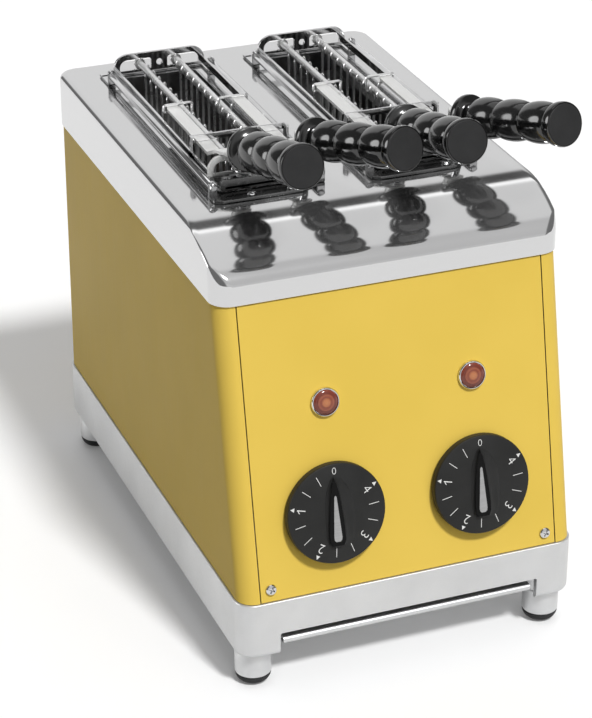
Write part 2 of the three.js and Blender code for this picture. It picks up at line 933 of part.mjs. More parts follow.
function lampBezel() {
  const bore = lensStemRadius + seatGap;
  return turned([
    [bore, -lampBarrelLength],
    [lampBarrelRadius, -lampBarrelLength],
    [lampBarrelRadius, seatGap],
    [lampRadius, seatGap],
    [lampRadius, lampRimHeight / 2],
    [lampRecess + lampRimFlat, lampRimHeight],
    [lampRecess, lampRimHeight],
    [lampRecess, lampSeatHeight],
    [bore, lampSeatHeight],
    [bore, -lampBarrelLength],
  ], lampSides);
}

function lampLens() {
  const radius = lampRecess - seatGap;
  const under = lampSeatHeight + seatGap;
  const profile = [
    [0, -lensDepth],
    [lensStemRadius, -lensDepth],
    [lensStemRadius, under],
    [radius, under],
  ];
  for (const [acrossShare, upShare] of lensDomeShares) {
    profile.push([radius * acrossShare, under + (lensHeight - under) * upShare]);
  }
  profile.push([0, lensHeight]);
  return turned(profile, lampSides);
}

function panelScrew() {
  return turned([
    [0, -panelScrewLength],
    [panelScrewShank, -panelScrewLength],
    [panelScrewShank, seatGap],
    [panelScrewRadius, seatGap],
    [panelScrewRadius, panelScrewHeight / 2],
    [panelScrewRadius / 2, panelScrewHeight],
    [0, panelScrewHeight],
  ], smallSides);
}

for (const [place, x] of controlSides) {
  const dial = new THREE.Group();
  dial.position.set(x, knobUp, 0);
  const handle = piece(`timer_knob_${place}`, knob(), 'knob');
  handle.position.z = knobStandOff;
  dial.add(handle);
  dial.add(piece(`timer_shaft_${place}`, knobShaft(), 'bright'));
  dial.add(piece(`timer_body_${place}`, timerBody(), 'plastic'));
  controls.add(dial);
  const lamp = new THREE.Group();
  lamp.position.set(x, lampUp, 0);
  lamp.add(piece(`lamp_bezel_${place}`, lampBezel(), 'mirror'));
  lamp.add(piece(`lamp_lens_${place}`, lampLens(), 'lens'));
  controls.add(lamp);
  const screw = piece(`panel_screw_${place}`, panelScrew(), 'bright');
  screw.position.set(Math.sign(x) * panelScrewX, panelScrewRise, 0);
  controls.add(screw);
}

// Tong frame, in the tong's own group: X from the slot's middle, Z from the top of the cover
function bowPlate(y) {
  const half = bowWidth / 2;
  const corner = bowCornerRadius;
  const shape = new THREE.Shape();
  shape.moveTo(-half, bowRise);
  shape.lineTo(half, bowRise);
  shape.absarc(half - corner, bowTop - corner, corner, 0, Math.PI / 2, false);
  shape.absarc(-half + corner, bowTop - corner, corner, Math.PI / 2, Math.PI, false);
  const inRadius = corner - bowBand;
  const low = bowRise + bowSill;
  const high = bowTop - bowBand;
  const outX = half - bowBand;
  const inX = bowPostWidth / 2;
  const window = new THREE.Shape();
  window.moveTo(inX, low);
  window.lineTo(outX, low);
  window.absarc(outX - inRadius, high - inRadius, inRadius, 0, Math.PI / 2, false);
  window.lineTo(inX, high);
  const through = [y - overrun, y + overrun];
  const rightWindow = lengthways(window, ...through);
  const leftWindow = rightWindow.clone().rotateZ(Math.PI).translate(0, 2 * y, 0);
  const holeZ = (low + high) / 2;
  const hole = rod(point(0, y - overrun, holeZ), point(0, y + overrun, holeZ), bowHoleRadius, rodSides);
  const sheet = lengthways(shape, y - bowSheet / 2, y + bowSheet / 2);
  return cut(sheet, [rightWindow, leftWindow, hole]);
}

const bridgeY = frontBow + bridgeBack;
const bridgeLow = leverLow + leverSheet + runningGap;
const apronFront = frontBow - bowSheet / 2 - bracketReach;

function tongFrame() {
  const half = bowWidth / 2;
  const stripZ = [bowRise, bowRise + stripHeight];
  const pieces = [bowPlate(frontBow), bowPlate(rearBow)];
  for (const side of [-1, 1]) {
    const x = [side * (half - stripSheet), side * half].sort((a, b) => a - b);
    pieces.push(block(x, [frontBow, rearBow], stripZ));
    const legZ = [bowRise, bridgeLow + bridgeHeight];
    pieces.push(block(x, [bridgeY - bridgeHeight, bridgeY + bridgeSheet], legZ));
  }
  pieces.push(block([-half, half], [bridgeY, bridgeY + bridgeSheet], [bridgeLow, bridgeLow + bridgeHeight]));
  const bracketX = [bracketInset - half, half];
  pieces.push(block(bracketX, [apronFront, frontBow], [bracketRise, bracketRise + bracketSheet]));
  pieces.push(block(
    bracketX,
    [apronFront, apronFront + apronSheet],
    [bracketRise - apronDrop, bracketRise + bracketSheet + apronRise],
  ));
  const holes = [-leftPinOffset, rightPinOffset].map(
    (x) => upright(x, pinY, bracketRise - overrun, bracketRise + overrun, pinRadius + seatGap, rodSides),
  );
  return cut(join(pieces), holes);
}

// Grid: a bar that slides in the bow windows, upright wires, a shelf for the bread, and the clip
function grid(side) {
  const x = side * gridOffset;
  const barFront = frontBow - bowSheet / 2 - seatGap - nutLength;
  const barBack = rearBow + bowSheet / 2 + seatGap + nutLength;
  const first = frontBow + gridEndInset;
  const last = rearBow - gridEndInset;
  const shelfX = x - side * gridShelf;
  const pieces = [
    rod(point(x, barFront, barRise), point(x, barBack, barRise), barRadius, rodSides),
    rod(point(x, barFront, barRise), point(x, barFront + nutLength, barRise), nutRadius, rodSides),
    rod(point(x, barBack - nutLength, barRise), point(x, barBack, barRise), nutRadius, rodSides),
    rod(point(x, first, -gridDrop), point(x, last, -gridDrop), gridRailRadius, wireSides),
  ];
  for (let i = 0; i < wireCount; i += 1) {
    const y = first + ((last - first) * i) / (wireCount - 1);
    pieces.push(rod(point(x, y, -gridDrop), point(x, y, barRise), wireRadius, wireSides));
    pieces.push(rod(point(x, y, -gridDrop), point(shelfX, y, -gridDrop), wireRadius, wireSides));
  }
  const leverOut = leverInside + leverWidth;
  const reach = clipRadius + runningGap;
  const under = leverLow - reach;
  const over = leverLow + leverSheet + reach;
  const posts = [side * (leverInside - reach), side * (leverOut + reach)];
  const start = x - side * barRadius;
  pieces.push(rod(point(start, clipY, under), point(posts[1], clipY, under), clipRadius, wireSides));
  pieces.push(rod(point(posts[0], clipY, over), point(posts[1], clipY, over), clipRadius, wireSides));
  for (const post of posts) {
    const foot = point(post, clipY, under - clipRadius / 2);
    pieces.push(rod(foot, point(post, clipY, over + clipRadius / 2), clipRadius, wireSides));
  }
  return join(pieces);
}

// Lever: an eye on the pin, a tang into the grip and a strap back over the bow to the clip
function lever(side, pinOffset) {
  const pinX = side * pinOffset;
  const inX = side * leverInside;
  const outX = side * (leverInside + leverWidth);
  const endY = clipY + leverEndPastClip;
  const bowBackFace = frontBow + bowSheet / 2;
  const downY = bowBackFace + leverDescent;
  const profile = outline([
    [pinY, leverHigh],
    [bowBackFace + leverSheet / 2, leverHigh],
    [downY, leverLow],
    [endY, leverLow],
    [endY, leverLow + leverSheet],
    [downY + leverSheet / 2, leverLow + leverSheet],
    [bowBackFace + leverSheet, leverHigh + leverSheet],
    [pinY, leverHigh + leverSheet],
  ]);
  const reach = Math.max(pinOffset, leverInside + leverWidth) + overrun;
  const strap = sideways(profile, -reach, reach);
  const neck = eyeRadius - leverSheet / 2;
  const footprint = outline([
    [pinX + side * neck, pinY],
    [outX, bowBackFace + leverShoulder],
    [outX, endY + overrun],
    [inX, endY + overrun],
    [inX, bowBackFace + leverDescent],
    [pinX - side * neck, bowBackFace],
    [pinX - side * neck, pinY],
  ]);
  const trimmed = common([strap, plan(footprint, leverLow - overrun, leverHigh + leverSheet + overrun)]);
  const along = gripDirection(side);
  const grip = gripStart(side, pinOffset);
  const tangStart = grip.clone().addScaledVector(along, -gripSetback / Math.cos(gripTilt));
  const tangEnd = grip.clone().addScaledVector(along, tangLength);
  const pieces = [
    upright(pinX, pinY, leverHigh, gripStartRise + leverSheet, eyeRadius, smallSides),
    trimmed,
    rod(tangStart, tangEnd, tangRadius, rodSides),
  ];
  const hole = upright(pinX, pinY, leverLow, gripStartRise + gripLength, pinRadius + seatGap, rodSides);
  return cut(join(pieces), [hole]);
}

// The left grip points straight forward and the right one splays outwards; both rise
function gripDirection(side) {
  const splay = side > 0 ? gripSplay : 0;
  const flat = Math.cos(gripTilt);
  return point(flat * Math.sin(splay), -flat * Math.cos(splay), Math.sin(gripTilt));
}

function gripStart(side, pinOffset) {
  const along = gripDirection(side);
  const flat = Math.cos(gripTilt);
  return point(
    side * pinOffset + (along.x * gripSetback) / flat,
    pinY + (along.y * gripSetback) / flat,
    gripStartRise,
  );
}

function grip() {
  const bulgeStart = collarLength + neckLength;
  const pitch = (gripLength - capLength - bulgeStart) / bulgeCount;
  const bore = tangRadius + seatGap;
  const boreEnd = tangLength + seatGap;
  const profile = [
    [0, boreEnd],
    [bore, boreEnd],
    [bore, 0],
  ];
  for (const [radiusShare, lengthShare] of collarShares) {
    profile.push([collarRadius * radiusShare, collarLength * lengthShare]);
  }
  profile.push([neckRadius, collarLength + collarRound]);
  profile.push([neckRadius, bulgeStart]);
  for (let i = 0; i < bulgeCount; i += 1) {
    const start = bulgeStart + pitch * i;
    for (const [radiusShare, lengthShare] of bulgeShares) {
      profile.push([bulgeRadius * radiusShare, start + pitch * lengthShare]);
    }
    profile.push([valleyRadius, start + pitch]);
  }
  for (const [radiusShare, lengthShare] of capShares) {
    profile.push([capRadius * radiusShare, gripLength - capLength + capLength * lengthShare]);
  }
  profile.push([0, gripLength]);
  return turned(profile, gripSides);
}

function pivotPin() {
  const low = bracketRise - seatGap;
  return turned([
    [0, low - pinHeadHeight],
    [pinHeadRadius, low - pinHeadHeight],
    [pinHeadRadius, low],
    [pinRadius, low],
    [pinRadius, gripStartRise + leverSheet],
    [0, gripStartRise + leverSheet],
  ], rodSides);
}

// A torsion spring: one leg lies along the bow, the turns climb round the pin
class SpringPath extends THREE.Curve {
  getPoint(t, target = new THREE.Vector3()) {
    const coil = springTurns * Math.PI * 2 * springRadius;
    const total = coil + springLeg;
    const s = t * total;
    const rise = (springPitch * springTurns * Math.max(0, s - springLeg)) / coil;
    if (s < springLeg) {
      return target.set(s - springLeg, springRadius, 0);
    }
    const angle = Math.PI / 2 - (s - springLeg) / springRadius;
    return target.set(springRadius * Math.cos(angle), springRadius * Math.sin(angle), rise);
  }
}

function torsionSpring() {
  const section = new THREE.Shape();
  section.absarc(0, 0, springWireRadius, 0, Math.PI * 2, false);
  const ring = new THREE.Shape(section.getSpacedPoints(springSides).slice(0, springSides));
  const path = new SpringPath();
  return new THREE.ExtrudeGeometry(ring, { steps: springSteps, extrudePath: path });
}

// The least gap between neighbouring turns of the spring, measured on points of its path
function springGap() {
  const path = new SpringPath();
  const points = path.getSpacedPoints(springSteps);
  const perTurn = springSteps / springTurns / 2;
  let least = Infinity;
  for (let i = 0; i < points.length; i += 1) {
    for (let j = i + Math.ceil(perTurn); j < points.length; j += 1) {
      least = Math.min(least, points[i].distanceTo(points[j]));
    }
  }
  return least - 2 * springWireRadius;
}

console.log(`spring: least gap between turns ${springGap().toFixed(2)} mm`);

for (const [place, x] of slotCentres) {
  const tong = new THREE.Group();
  tong.position.set(x, 0, coverTop);
  const prefix = `${place}_tong`;
  tong.add(piece(`${prefix}_frame`, tongFrame(), 'bright'));
  const sides = [['left', -1, leftPinOffset], ['right', 1, rightPinOffset]];
  for (const [hand, side, pinOffset] of sides) {
    tong.add(piece(`${prefix}_grid_${hand}`, grid(side), 'bright'));
    tong.add(piece(`${prefix}_lever_${hand}`, lever(side, pinOffset), 'plate'));
    const pin = piece(`${prefix}_pin_${hand}`, pivotPin(), 'bright');
    pin.position.set(side * pinOffset, pinY, 0);
    tong.add(pin);
    const handle = piece(`${prefix}_grip_${hand}`, grip(), 'grip');
    handle.position.copy(gripStart(side, pinOffset));
    handle.quaternion.setFromUnitVectors(axisZ, gripDirection(side));
    tong.add(handle);
  }
  const spring = piece(`${prefix}_spring`, torsionSpring(), 'bright');
  spring.position.set(-leftPinOffset, pinY, bracketRise + bracketSheet + springWireRadius + runningGap);
  tong.add(spring);
  model.add(tong);
}

// The origin is the middle of the whole part's footprint
model.updateMatrixWorld(true);
const bounds = new THREE.Box3().setFromObject(model, true);
const middle = bounds.getCenter(new THREE.Vector3());
model.position.set(-middle.x, -middle.y, 0);

export default model;
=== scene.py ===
import math

import bmesh
import bpy
from mathutils import Matrix, Vector


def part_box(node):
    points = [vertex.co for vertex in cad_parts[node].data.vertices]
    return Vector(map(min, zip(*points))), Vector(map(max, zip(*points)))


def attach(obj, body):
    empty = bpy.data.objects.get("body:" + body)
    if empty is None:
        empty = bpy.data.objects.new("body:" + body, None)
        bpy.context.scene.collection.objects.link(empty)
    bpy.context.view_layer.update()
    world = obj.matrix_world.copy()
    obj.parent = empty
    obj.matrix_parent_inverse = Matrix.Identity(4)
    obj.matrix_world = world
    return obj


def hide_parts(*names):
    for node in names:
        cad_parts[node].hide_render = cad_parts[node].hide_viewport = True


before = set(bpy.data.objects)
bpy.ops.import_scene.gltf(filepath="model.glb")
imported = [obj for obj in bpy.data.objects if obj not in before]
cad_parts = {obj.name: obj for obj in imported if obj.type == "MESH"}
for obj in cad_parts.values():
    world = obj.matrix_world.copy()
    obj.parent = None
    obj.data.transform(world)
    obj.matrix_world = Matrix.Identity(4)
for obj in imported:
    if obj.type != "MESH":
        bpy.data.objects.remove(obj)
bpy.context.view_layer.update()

# Sizes are written in millimetres, from the middle of the base, and MM makes them metres
MM = 0.001
MERGE_GAP = 0.001 * MM
HANDS = (("left", -1), ("right", 1))

# Housing: heights above the worktop, half widths and half depths
FOOT_TOP, BASE_TOP, SHELL_TOP, COVER_TOP = 24.0, 61.8, 239.8, 275.8
BASE_HALF, BASE_END, BASE_WALL = 110.0, 174.0, 4.0
SHELL_HALF, SHELL_END, SHELL_CORNER, LEAN_BACK = 108.8, 172.8, 11.0, 37.6
SEAM, SEAM_GAP = 96.3, 0.4
FOOT_X, FOOT_Y, NOTCH_HALF = 96.0, 157.0, 84.5
SLOT_X, SLOT_HALF, SLOT_FRONT, SLOT_BACK = 50.0, 27.5, -58.0, 142.0

# Control panel: distances up the leaning panel and out from its middle, and rises off the dial
KNOB_UP, LAMP_UP, CONTROL_X, DIAL_RISE, INK_RISE = 49.12, 116.43, 47.0, 5.5, 0.06

# Tongs: measured from the middle of a slot, at the height of the cover
FRONT_BOW, REAR_BOW, PIN_Y, CLIP_Y = -45.0, 136.0, -55.0, 45.0
BOW_HALF, BOW_LOW, BOW_TOP, BAR_RISE, BAR_X = 31.0, 5.5, 18.5, 10.0, 12.4
LEVER_LOW, LEVER_HIGH, LEVER_SHEET, GRIP_RISE = 13.8, 19.3, 2.0, 27.9
PIN_X = {-1: 12, 1: 27}

lean = math.atan2(LEAN_BACK, SHELL_TOP - BASE_TOP)
base_low, base_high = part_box("base_frame")
HOME = Matrix.Translation(((base_low.x + base_high.x) / 2, (base_low.y + base_high.y) / 2, 0))


def place(x, y, z):
    """A move in millimetres."""
    return Matrix.Translation(Vector((x, y, z)) * MM)


PANEL = HOME @ place(0, -SHELL_END, BASE_TOP) @ Matrix.Rotation(math.pi / 2 - lean, 4, "X")
TO_BACK = Matrix.Rotation(-math.pi / 2, 4, "X")   # lays a turned piece down, its top towards the back


# Outlines


def arc(x, y, radius, start, end, steps):
    """The points of (x, y) along an arc from one angle to the other, in degrees."""
    angles = [math.radians(start + (end - start) * step / steps) for step in range(steps + 1)]
    return [(x + radius * math.cos(angle), y + radius * math.sin(angle)) for angle in angles]


def rounded(points, radius, steps=4, closed=False):
    """The points of a line with its corners rounded."""
    points = [Vector(point) for point in points]
    result = []
    for index, corner in enumerate(points):
        if not closed and index in (0, len(points) - 1):
            result.append(corner)
            continue
        back = points[index - 1] - corner
        on = points[(index + 1) % len(points)] - corner
        turn = back.angle(on)
        reach = min(radius / math.tan(turn / 2), back.length * 0.49, on.length * 0.49)
        start, end = corner + back.normalized() * reach, corner + on.normalized() * reach
        for step in range(steps + 1):
            share = step / steps
            result.append(start.lerp(corner, share).lerp(corner.lerp(end, share), share))
    return result


def rounded_plan(x0, x1, y0, y1, radius, steps, back_radius=None):
    """A rectangle with round corners, as points of (x, y)."""
    back_radius = radius if back_radius is None else back_radius
    corners = [(x1, y0, -1, 1, radius, -90), (x1, y1, -1, -1, back_radius, 0),
               (x0, y1, 1, -1, back_radius, 90), (x0, y0, 1, 1, radius, 180)]
    points = []
    for x, y, to_x, to_y, bend, start in corners:
        points += arc(x + to_x * bend, y + to_y * bend, bend, start, start + 90, steps)
    return points


def shield(right):
    """A closed outline from the points of its right side, the first of them on the middle line."""
    return right[:1] + [(-x, y) for x, y in right[1:]] + right[:0:-1]


# Modelling by hand


def only(*pieces):
    """Deselects everything and selects these pieces, the first of them active."""
    bpy.ops.object.select_all(action="DESELECT")
    for piece in pieces:
        piece.select_set(True)
    if pieces:
        bpy.context.view_layer.objects.active = pieces[0]


def discard(*pieces):
    only(*pieces)
    bpy.ops.object.delete()


def edit(piece):
    only(piece)
    bpy.ops.object.mode_set(mode="EDIT")


def done():
    bpy.ops.object.mode_set(mode="OBJECT")
    return bpy.context.object


def choose(kind, test):
    """In edit mode, selects the points, edges or faces that pass the test, by place or normal."""
    mesh = bmesh.from_edit_mesh(bpy.context.edit_object.data)
    bpy.ops.mesh.select_mode(type=kind)
    bpy.ops.mesh.select_all(action="DESELECT")
    for item in {"VERT": mesh.verts, "EDGE": mesh.edges, "FACE": mesh.faces}[kind]:
        if test(item):
            item.select_set(True)
    mesh.select_flush_mode()
    bmesh.update_edit_mesh(bpy.context.edit_object.data)


def middle(item):
    """The middle of an edge or face in millimetres."""
    total = Vector((0, 0, 0))
    for corner in item.verts:
        total += corner.co
    return total / len(item.verts) / MM


def draw(points):
    """In edit mode, draws a line through the points from a new point."""
    bpy.ops.mesh.select_mode(type="VERT")
    bpy.ops.mesh.select_all(action="DESELECT")
    bpy.ops.mesh.primitive_plane_add(size=MM)
    bpy.ops.mesh.merge(type="CENTER")
    here = Vector(points[0]) * MM
    bpy.ops.transform.translate(value=here)
    for point in points[1:]:
        there = Vector(point) * MM
        bpy.ops.mesh.extrude_vertices_move(TRANSFORM_OT_translate={"value": there - here})
        here = there


def drawn(name, points):
    """A new piece that is a line through the points, left in edit mode."""
    only()
    bpy.ops.mesh.primitive_plane_add(size=MM)
    piece = bpy.context.object
    piece.name = name
    bpy.ops.object.mode_set(mode="EDIT")
    bpy.ops.mesh.delete(type="VERT")
    draw(points)
    return piece


def bevel(test, width, steps):
    """In edit mode, rounds the edges that pass the test."""
    choose("EDGE", test)
    bpy.ops.mesh.bevel(offset=width * MM, segments=steps, affect="EDGES")


def choose_all():
    bpy.ops.mesh.select_all(action="SELECT")


def merge_all():
    choose_all()
    bpy.ops.mesh.remove_doubles(threshold=MERGE_GAP)
    choose_all()


def turn_outward():
    choose_all()
    bpy.ops.mesh.normals_make_consistent(inside=False)


def tidy_faces():
    merge_all()
    turn_outward()


def shaded(piece, angle):
    only(piece)
    bpy.ops.object.shade_smooth_by_angle(angle=math.radians(angle))
    return piece


def turned(name, profile, steps, smooth=30):
    """Spins a line of (radius, height) round Z."""
    piece = drawn(name, [(radius, 0, height) for radius, height in profile])
    choose_all()
    bpy.ops.mesh.spin(steps=steps, angle=2 * math.pi, center=(0, 0, 0), axis=(0, 0, 1))
    tidy_faces()
    done()
    return shaded(piece, smooth)


def plate(name, outline, depth):
    """Fills a closed outline of points and pulls it out along depth."""
    drawn(name, list(outline) + [outline[0]])
    merge_all()
    bpy.ops.mesh.edge_face_add()
    bpy.ops.mesh.extrude_region_move(TRANSFORM_OT_translate={"value": Vector(depth) * MM})
    tidy_faces()
    return done()


def plan_plate(name, outline, low, high):
    return plate(name, [(x, y, low) for x, y in outline], (0, 0, high - low))


def rounded_plate(name, corners, radius, low, high):
    """A level plate whose corners are rounded."""
    line = rounded([(x, y, 0) for x, y in corners], radius, 5, True)
    return plan_plate(name, [(point.x, point.y) for point in line], low, high)


def lofted(name, loops, smooth):
    """Joins closed loops of equally many points, one after the other, and closes both ends."""
    count = len(loops[0])
    piece = drawn(name, loops[0])
    for loop in loops[1:]:
        draw(loop)
    for ring in range(len(loops)):
        ends = {ring * count, ring * count + count - 1}
        choose("VERT", lambda corner: corner.index in ends)
        bpy.ops.mesh.edge_face_add()
    for ring in range(len(loops) - 1):
        span = range(ring * count, ring * count + 2 * count)
        choose("EDGE", lambda edge: all(corner.index in span for corner in edge.verts)
               and len(edge.link_faces) < 2
               and (edge.verts[0].index < span[count]) == (edge.verts[1].index < span[count]))
        bpy.ops.mesh.bridge_edge_loops()
    for ring in (0, len(loops) - 1):
        span = range(ring * count, ring * count + count)
        choose("EDGE", lambda edge: all(corner.index in span for corner in edge.verts))
        bpy.ops.mesh.edge_face_add()
    tidy_faces()
    done()
    return shaded(piece, smooth)


def box(name, low, high):
    """A block from its low corner to its high one."""
    only()
    low, high = Vector(low) * MM, Vector(high) * MM
    bpy.ops.mesh.primitive_cube_add(size=1, location=(low + high) / 2, scale=high - low)
    piece = bpy.context.object
    piece.name = name
    bpy.ops.object.transform_apply(location=True, rotation=True, scale=True)
    return piece


def wire(name, points, radius, sides=8, closed=False):
    """A round wire along the points."""
    points = list(points)
    piece = drawn(name, points + points[:1] if closed else points)
    if closed:
        merge_all()
    done()
    only(piece)
    bpy.ops.object.convert(target="CURVE")
    piece = bpy.context.object
    piece.data.dimensions = "3D"
    piece.data.bevel_depth = radius * MM
    piece.data.bevel_resolution = max(sides // 2 - 2, 0)
    piece.data.use_fill_caps = True
    bpy.ops.object.convert(target="MESH")
    piece = bpy.context.object
    edit(piece)
    tidy_faces()
    done()
    return shaded(piece, 40)


def modified(piece, kind, **settings):
    only(piece)
    bpy.ops.object.modifier_add(type=kind)
    modifier = piece.modifiers[-1]
    for name, value in settings.items():
        setattr(modifier, name, value)
    bpy.ops.object.modifier_apply(modifier=modifier.name)
    return piece


def carve(piece, tool, operation="DIFFERENCE"):
    """Cuts the piece with the tool, which is used up."""
    modified(piece, "BOOLEAN", operation=operation, solver="EXACT", object=tool)
    discard(tool)
    return piece


def flattened(piece, weight=80):
    """Keeps the flat faces flat beside round edges."""
    return modified(piece, "WEIGHTED_NORMAL", keep_sharp=True, weight=weight)


def softened(piece, width):
    """Rounds the sharp edges."""
    modified(piece, "BEVEL", width=width * MM, segments=2, limit_method="ANGLE",
             angle_limit=math.radians(35), miter_outer="MITER_ARC")
    return flattened(shaded(piece, 30))


def copy_of(piece, name):
    only(piece)
    bpy.ops.object.duplicate()
    copy = bpy.context.object
    copy.name = name
    return copy


def joined(name, *pieces):
    only(*pieces)
    bpy.ops.object.join()
    bpy.context.object.name = name
    return bpy.context.object


def settled(piece, where=HOME):
    """Puts the piece in its place and writes the place into its mesh."""
    piece.matrix_world = where @ piece.matrix_world
    only(piece)
    bpy.ops.object.transform_apply(location=True, rotation=True, scale=True)
    return piece


def mirrored(piece, name):
    """A left-handed copy, about the plane X = 0."""
    copy = copy_of(piece, name)
    edit(copy)
    choose_all()
    bpy.ops.transform.resize(value=(-1, 1, 1), center_override=(0, 0, 0))
    turn_outward()
    return done()


def coated(piece, *finishes):
    piece.data.materials.clear()
    for finish in finishes:
        piece.data.materials.append(finish)
    return piece


def fitted(piece, body, finish, slot, *stands_for):
    """Hands the piece over. A piece that already has its finishes gives None."""
    if finish:
        coated(piece, finish)
    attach(piece, body)
    if stands_for:
        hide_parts(*stands_for)


def fit_copy(piece, name, where, body, finish, slot, *stands_for):
    """Hands over a copy of the piece, put in its place."""
    fitted(settled(copy_of(piece, name), where), body, finish, slot, *stands_for)


# Finishes


def operator(kind):
    """The Math node of an operator, and of its reflected form, as in 1 - mask."""
    return (lambda signal, other: signal.nodes.math(kind, signal, other),
            lambda signal, other: signal.nodes.math(kind, other, signal))


class Signal:
    """A value that varies over a surface. An expression on it adds its Math nodes."""

    def __init__(self, nodes, socket):
        self.nodes, self.socket = nodes, socket

    __add__, __radd__ = operator("ADD")
    __sub__, __rsub__ = operator("SUBTRACT")
    __mul__, __rmul__ = operator("MULTIPLY")
    __truediv__, __rtruediv__ = operator("DIVIDE")


class Nodes:
    """The nodes of one tree."""

    def __init__(self, tree):
        self.tree = tree

    def link(self, value, socket):
        if isinstance(value, Signal):
            self.tree.links.new(value.socket, socket)
        elif isinstance(value, tuple) and len(value) == 3 and socket.type == "RGBA":
            socket.default_value = (*value, 1)
        else:
            socket.default_value = value

    def node(self, kind, settings=None, inputs=(), output=0):
        """Adds a node: its settings or stops first, then the values or links of its sockets."""
        made = self.tree.nodes.new(kind)
        for name, value in (settings or {}).items():
            if name != "stops":
                setattr(made, name, value)
                continue
            elements = made.color_ramp.elements
            while len(elements) < len(value):
                elements.new(0.5)
            for element, (position, colour) in zip(elements, value):
                element.position, element.color = position, (*colour, 1)
        pairs = inputs.items() if isinstance(inputs, dict) else enumerate(inputs)
        for key, value in pairs:
            self.link(value, made.inputs[key])
        return Signal(self, made.outputs[output]) if made.outputs else None

    def math(self, kind, *values):
        return self.node("ShaderNodeMath", {"operation": kind}, values)

    def between(self, value, low, high, out_low=0.0, out_high=1.0, kind="LINEAR"):
        return self.node("ShaderNodeMapRange", {"interpolation_type": kind}, {
            "Value": value, "From Min": low, "From Max": high, "To Min": out_low, "To Max": out_high})

    def blend(self, share, first, second):
        """A mix of two colours. Their sockets share names with others, so they go by number."""
        return self.node("ShaderNodeMix", {"data_type": "RGBA"}, {"Factor": share, 6: first, 7: second}, 2)

    def ray(self, kind):
        return self.node("ShaderNodeLightPath", output=f"Is {kind} Ray")


class Finish(Nodes):
    """One material: a shader and the nodes that vary it."""

    def __init__(self, name, colour, roughness, metallic, **constants):
        self.material = bpy.data.materials.new(name)
        self.material.use_nodes = True
        self.material.diffuse_color = (*colour, 1)
        super().__init__(self.material.node_tree)
        self.shader = next(n for n in self.tree.nodes if n.type == "BSDF_PRINCIPLED")
        self.vary("Base Color", colour)
        self.vary("Roughness", roughness)
        self.vary("Metallic", metallic)
        for socket, value in constants.items():
            self.vary(socket.replace("_", " "), value)

    def vary(self, socket, value):
        self.link(value, self.shader.inputs[socket])

    def vary_colour(self, value, first, second, low=0.3, high=0.7):
        self.vary("Base Color", self.blend(self.between(value, low, high), first, second))

    def vary_roughness(self, value, least, most):
        self.vary("Roughness", self.between(value, 0.3, 0.7, least, most))

    def bump(self, height, strength, distance=0.0002):
        self.vary("Normal", self.node("ShaderNodeBump", None, {
            "Height": height, "Strength": strength, "Distance": distance}))

    def point(self):
        return self.node("ShaderNodeTexCoord", output="Object")

    def noise(self, scale, detail=3.0, vector=None):
        return self.node("ShaderNodeTexNoise", None, {
            "Vector": vector or self.point(), "Scale": scale, "Detail": detail})

    def brushing(self, stretch, detail=4.0):
        """Noise drawn out along the axis with the smallest number."""
        stretched = self.node("ShaderNodeMapping", None, {"Vector": self.point(), "Scale": stretch})
        return self.noise(1.0, detail, stretched)


def satin_gold():
    finish = Finish("satin_gold_sheet", (0.87, 0.61, 0.11), 0.42, 0.1, Specular_IOR_Level=0.07)
    grain = finish.brushing((900.0, 900.0, 26.0))
    finish.vary_colour(finish.noise(14.0, 2.0), (0.85, 0.6, 0.104), (0.89, 0.63, 0.116))
    finish.vary_roughness(grain, 0.38, 0.47)
    finish.bump(grain, 0.05, 0.0001)
    return finish.material


def mirror_steel():
    finish = Finish("mirror_steel_cover", (0.66, 0.66, 0.663), 0.085, 0.94)
    haze = finish.noise(20.0, 3.0) + finish.noise(900.0, 2.0) * 0.35
    finish.vary("Roughness", finish.between(haze, 0.4, 0.95, 0.065, 0.105))
    finish.bump(finish.noise(11.0, 1.0), 0.25, 0.0003)
    return finish.material


def bright_steel(name, least, most, colour, metallic=1.0):
    finish = Finish(name, colour, least, metallic)
    finish.vary_roughness(finish.noise(220.0, 3.0), least, most)
    finish.vary_colour(finish.noise(60.0), tuple(c * 0.86 for c in colour), colour, 0.35, 0.7)
    return finish.material


def brushed_sheet(name, colour, metallic=0.9):
    finish = Finish(name, colour, 0.38, metallic)
    grain = finish.brushing((24.0, 900.0, 900.0))
    finish.vary_roughness(grain, 0.3, 0.46)
    finish.vary_colour(grain, tuple(c * 0.88 for c in colour), tuple(c * 1.08 for c in colour))
    finish.bump(grain, 0.06, 0.0001)
    return finish.material


def lever_plate():
    finish = Finish("matte_lever_steel", (0.74, 0.74, 0.73), 0.42, 0.4)
    grain = finish.brushing((900.0, 60.0, 900.0), 3.0)
    finish.vary_roughness(grain, 0.36, 0.5)
    finish.vary_colour(grain, (0.71, 0.71, 0.7), (0.77, 0.77, 0.76))
    return finish.material


def glossy_grip():
    finish = Finish("glossy_black_grip", (0.007, 0.007, 0.007), 0.13, 0.0, IOR=1.7)
    flow = finish.noise(30.0, 3.0)
    finish.vary_roughness(flow, 0.09, 0.17)
    finish.vary_colour(flow, (0.005, 0.005, 0.005), (0.009, 0.009, 0.009))
    finish.bump(finish.noise(420.0, 2.0), 0.04, 0.0001)
    return finish.material


def plain_finish(name, colours, roughnesses, grain, cloud=None, metallic=0.0, bump=None,
                 limits=(0.3, 0.7), **constants):
    """A finish whose grain varies its roughness, and its colour too where no cloud does.

    colours and roughnesses are the plain value, the least and the most; grain and cloud give
    the noise's scale and detail."""
    finish = Finish(name, colours[0], roughnesses[0], metallic, **constants)
    fine = finish.noise(*grain)
    finish.vary_colour(finish.noise(*cloud) if cloud else fine, *colours[1:], *limits)
    finish.vary_roughness(fine, *roughnesses[1:])
    if bump:
        finish.bump(fine, *bump)
    return finish.material


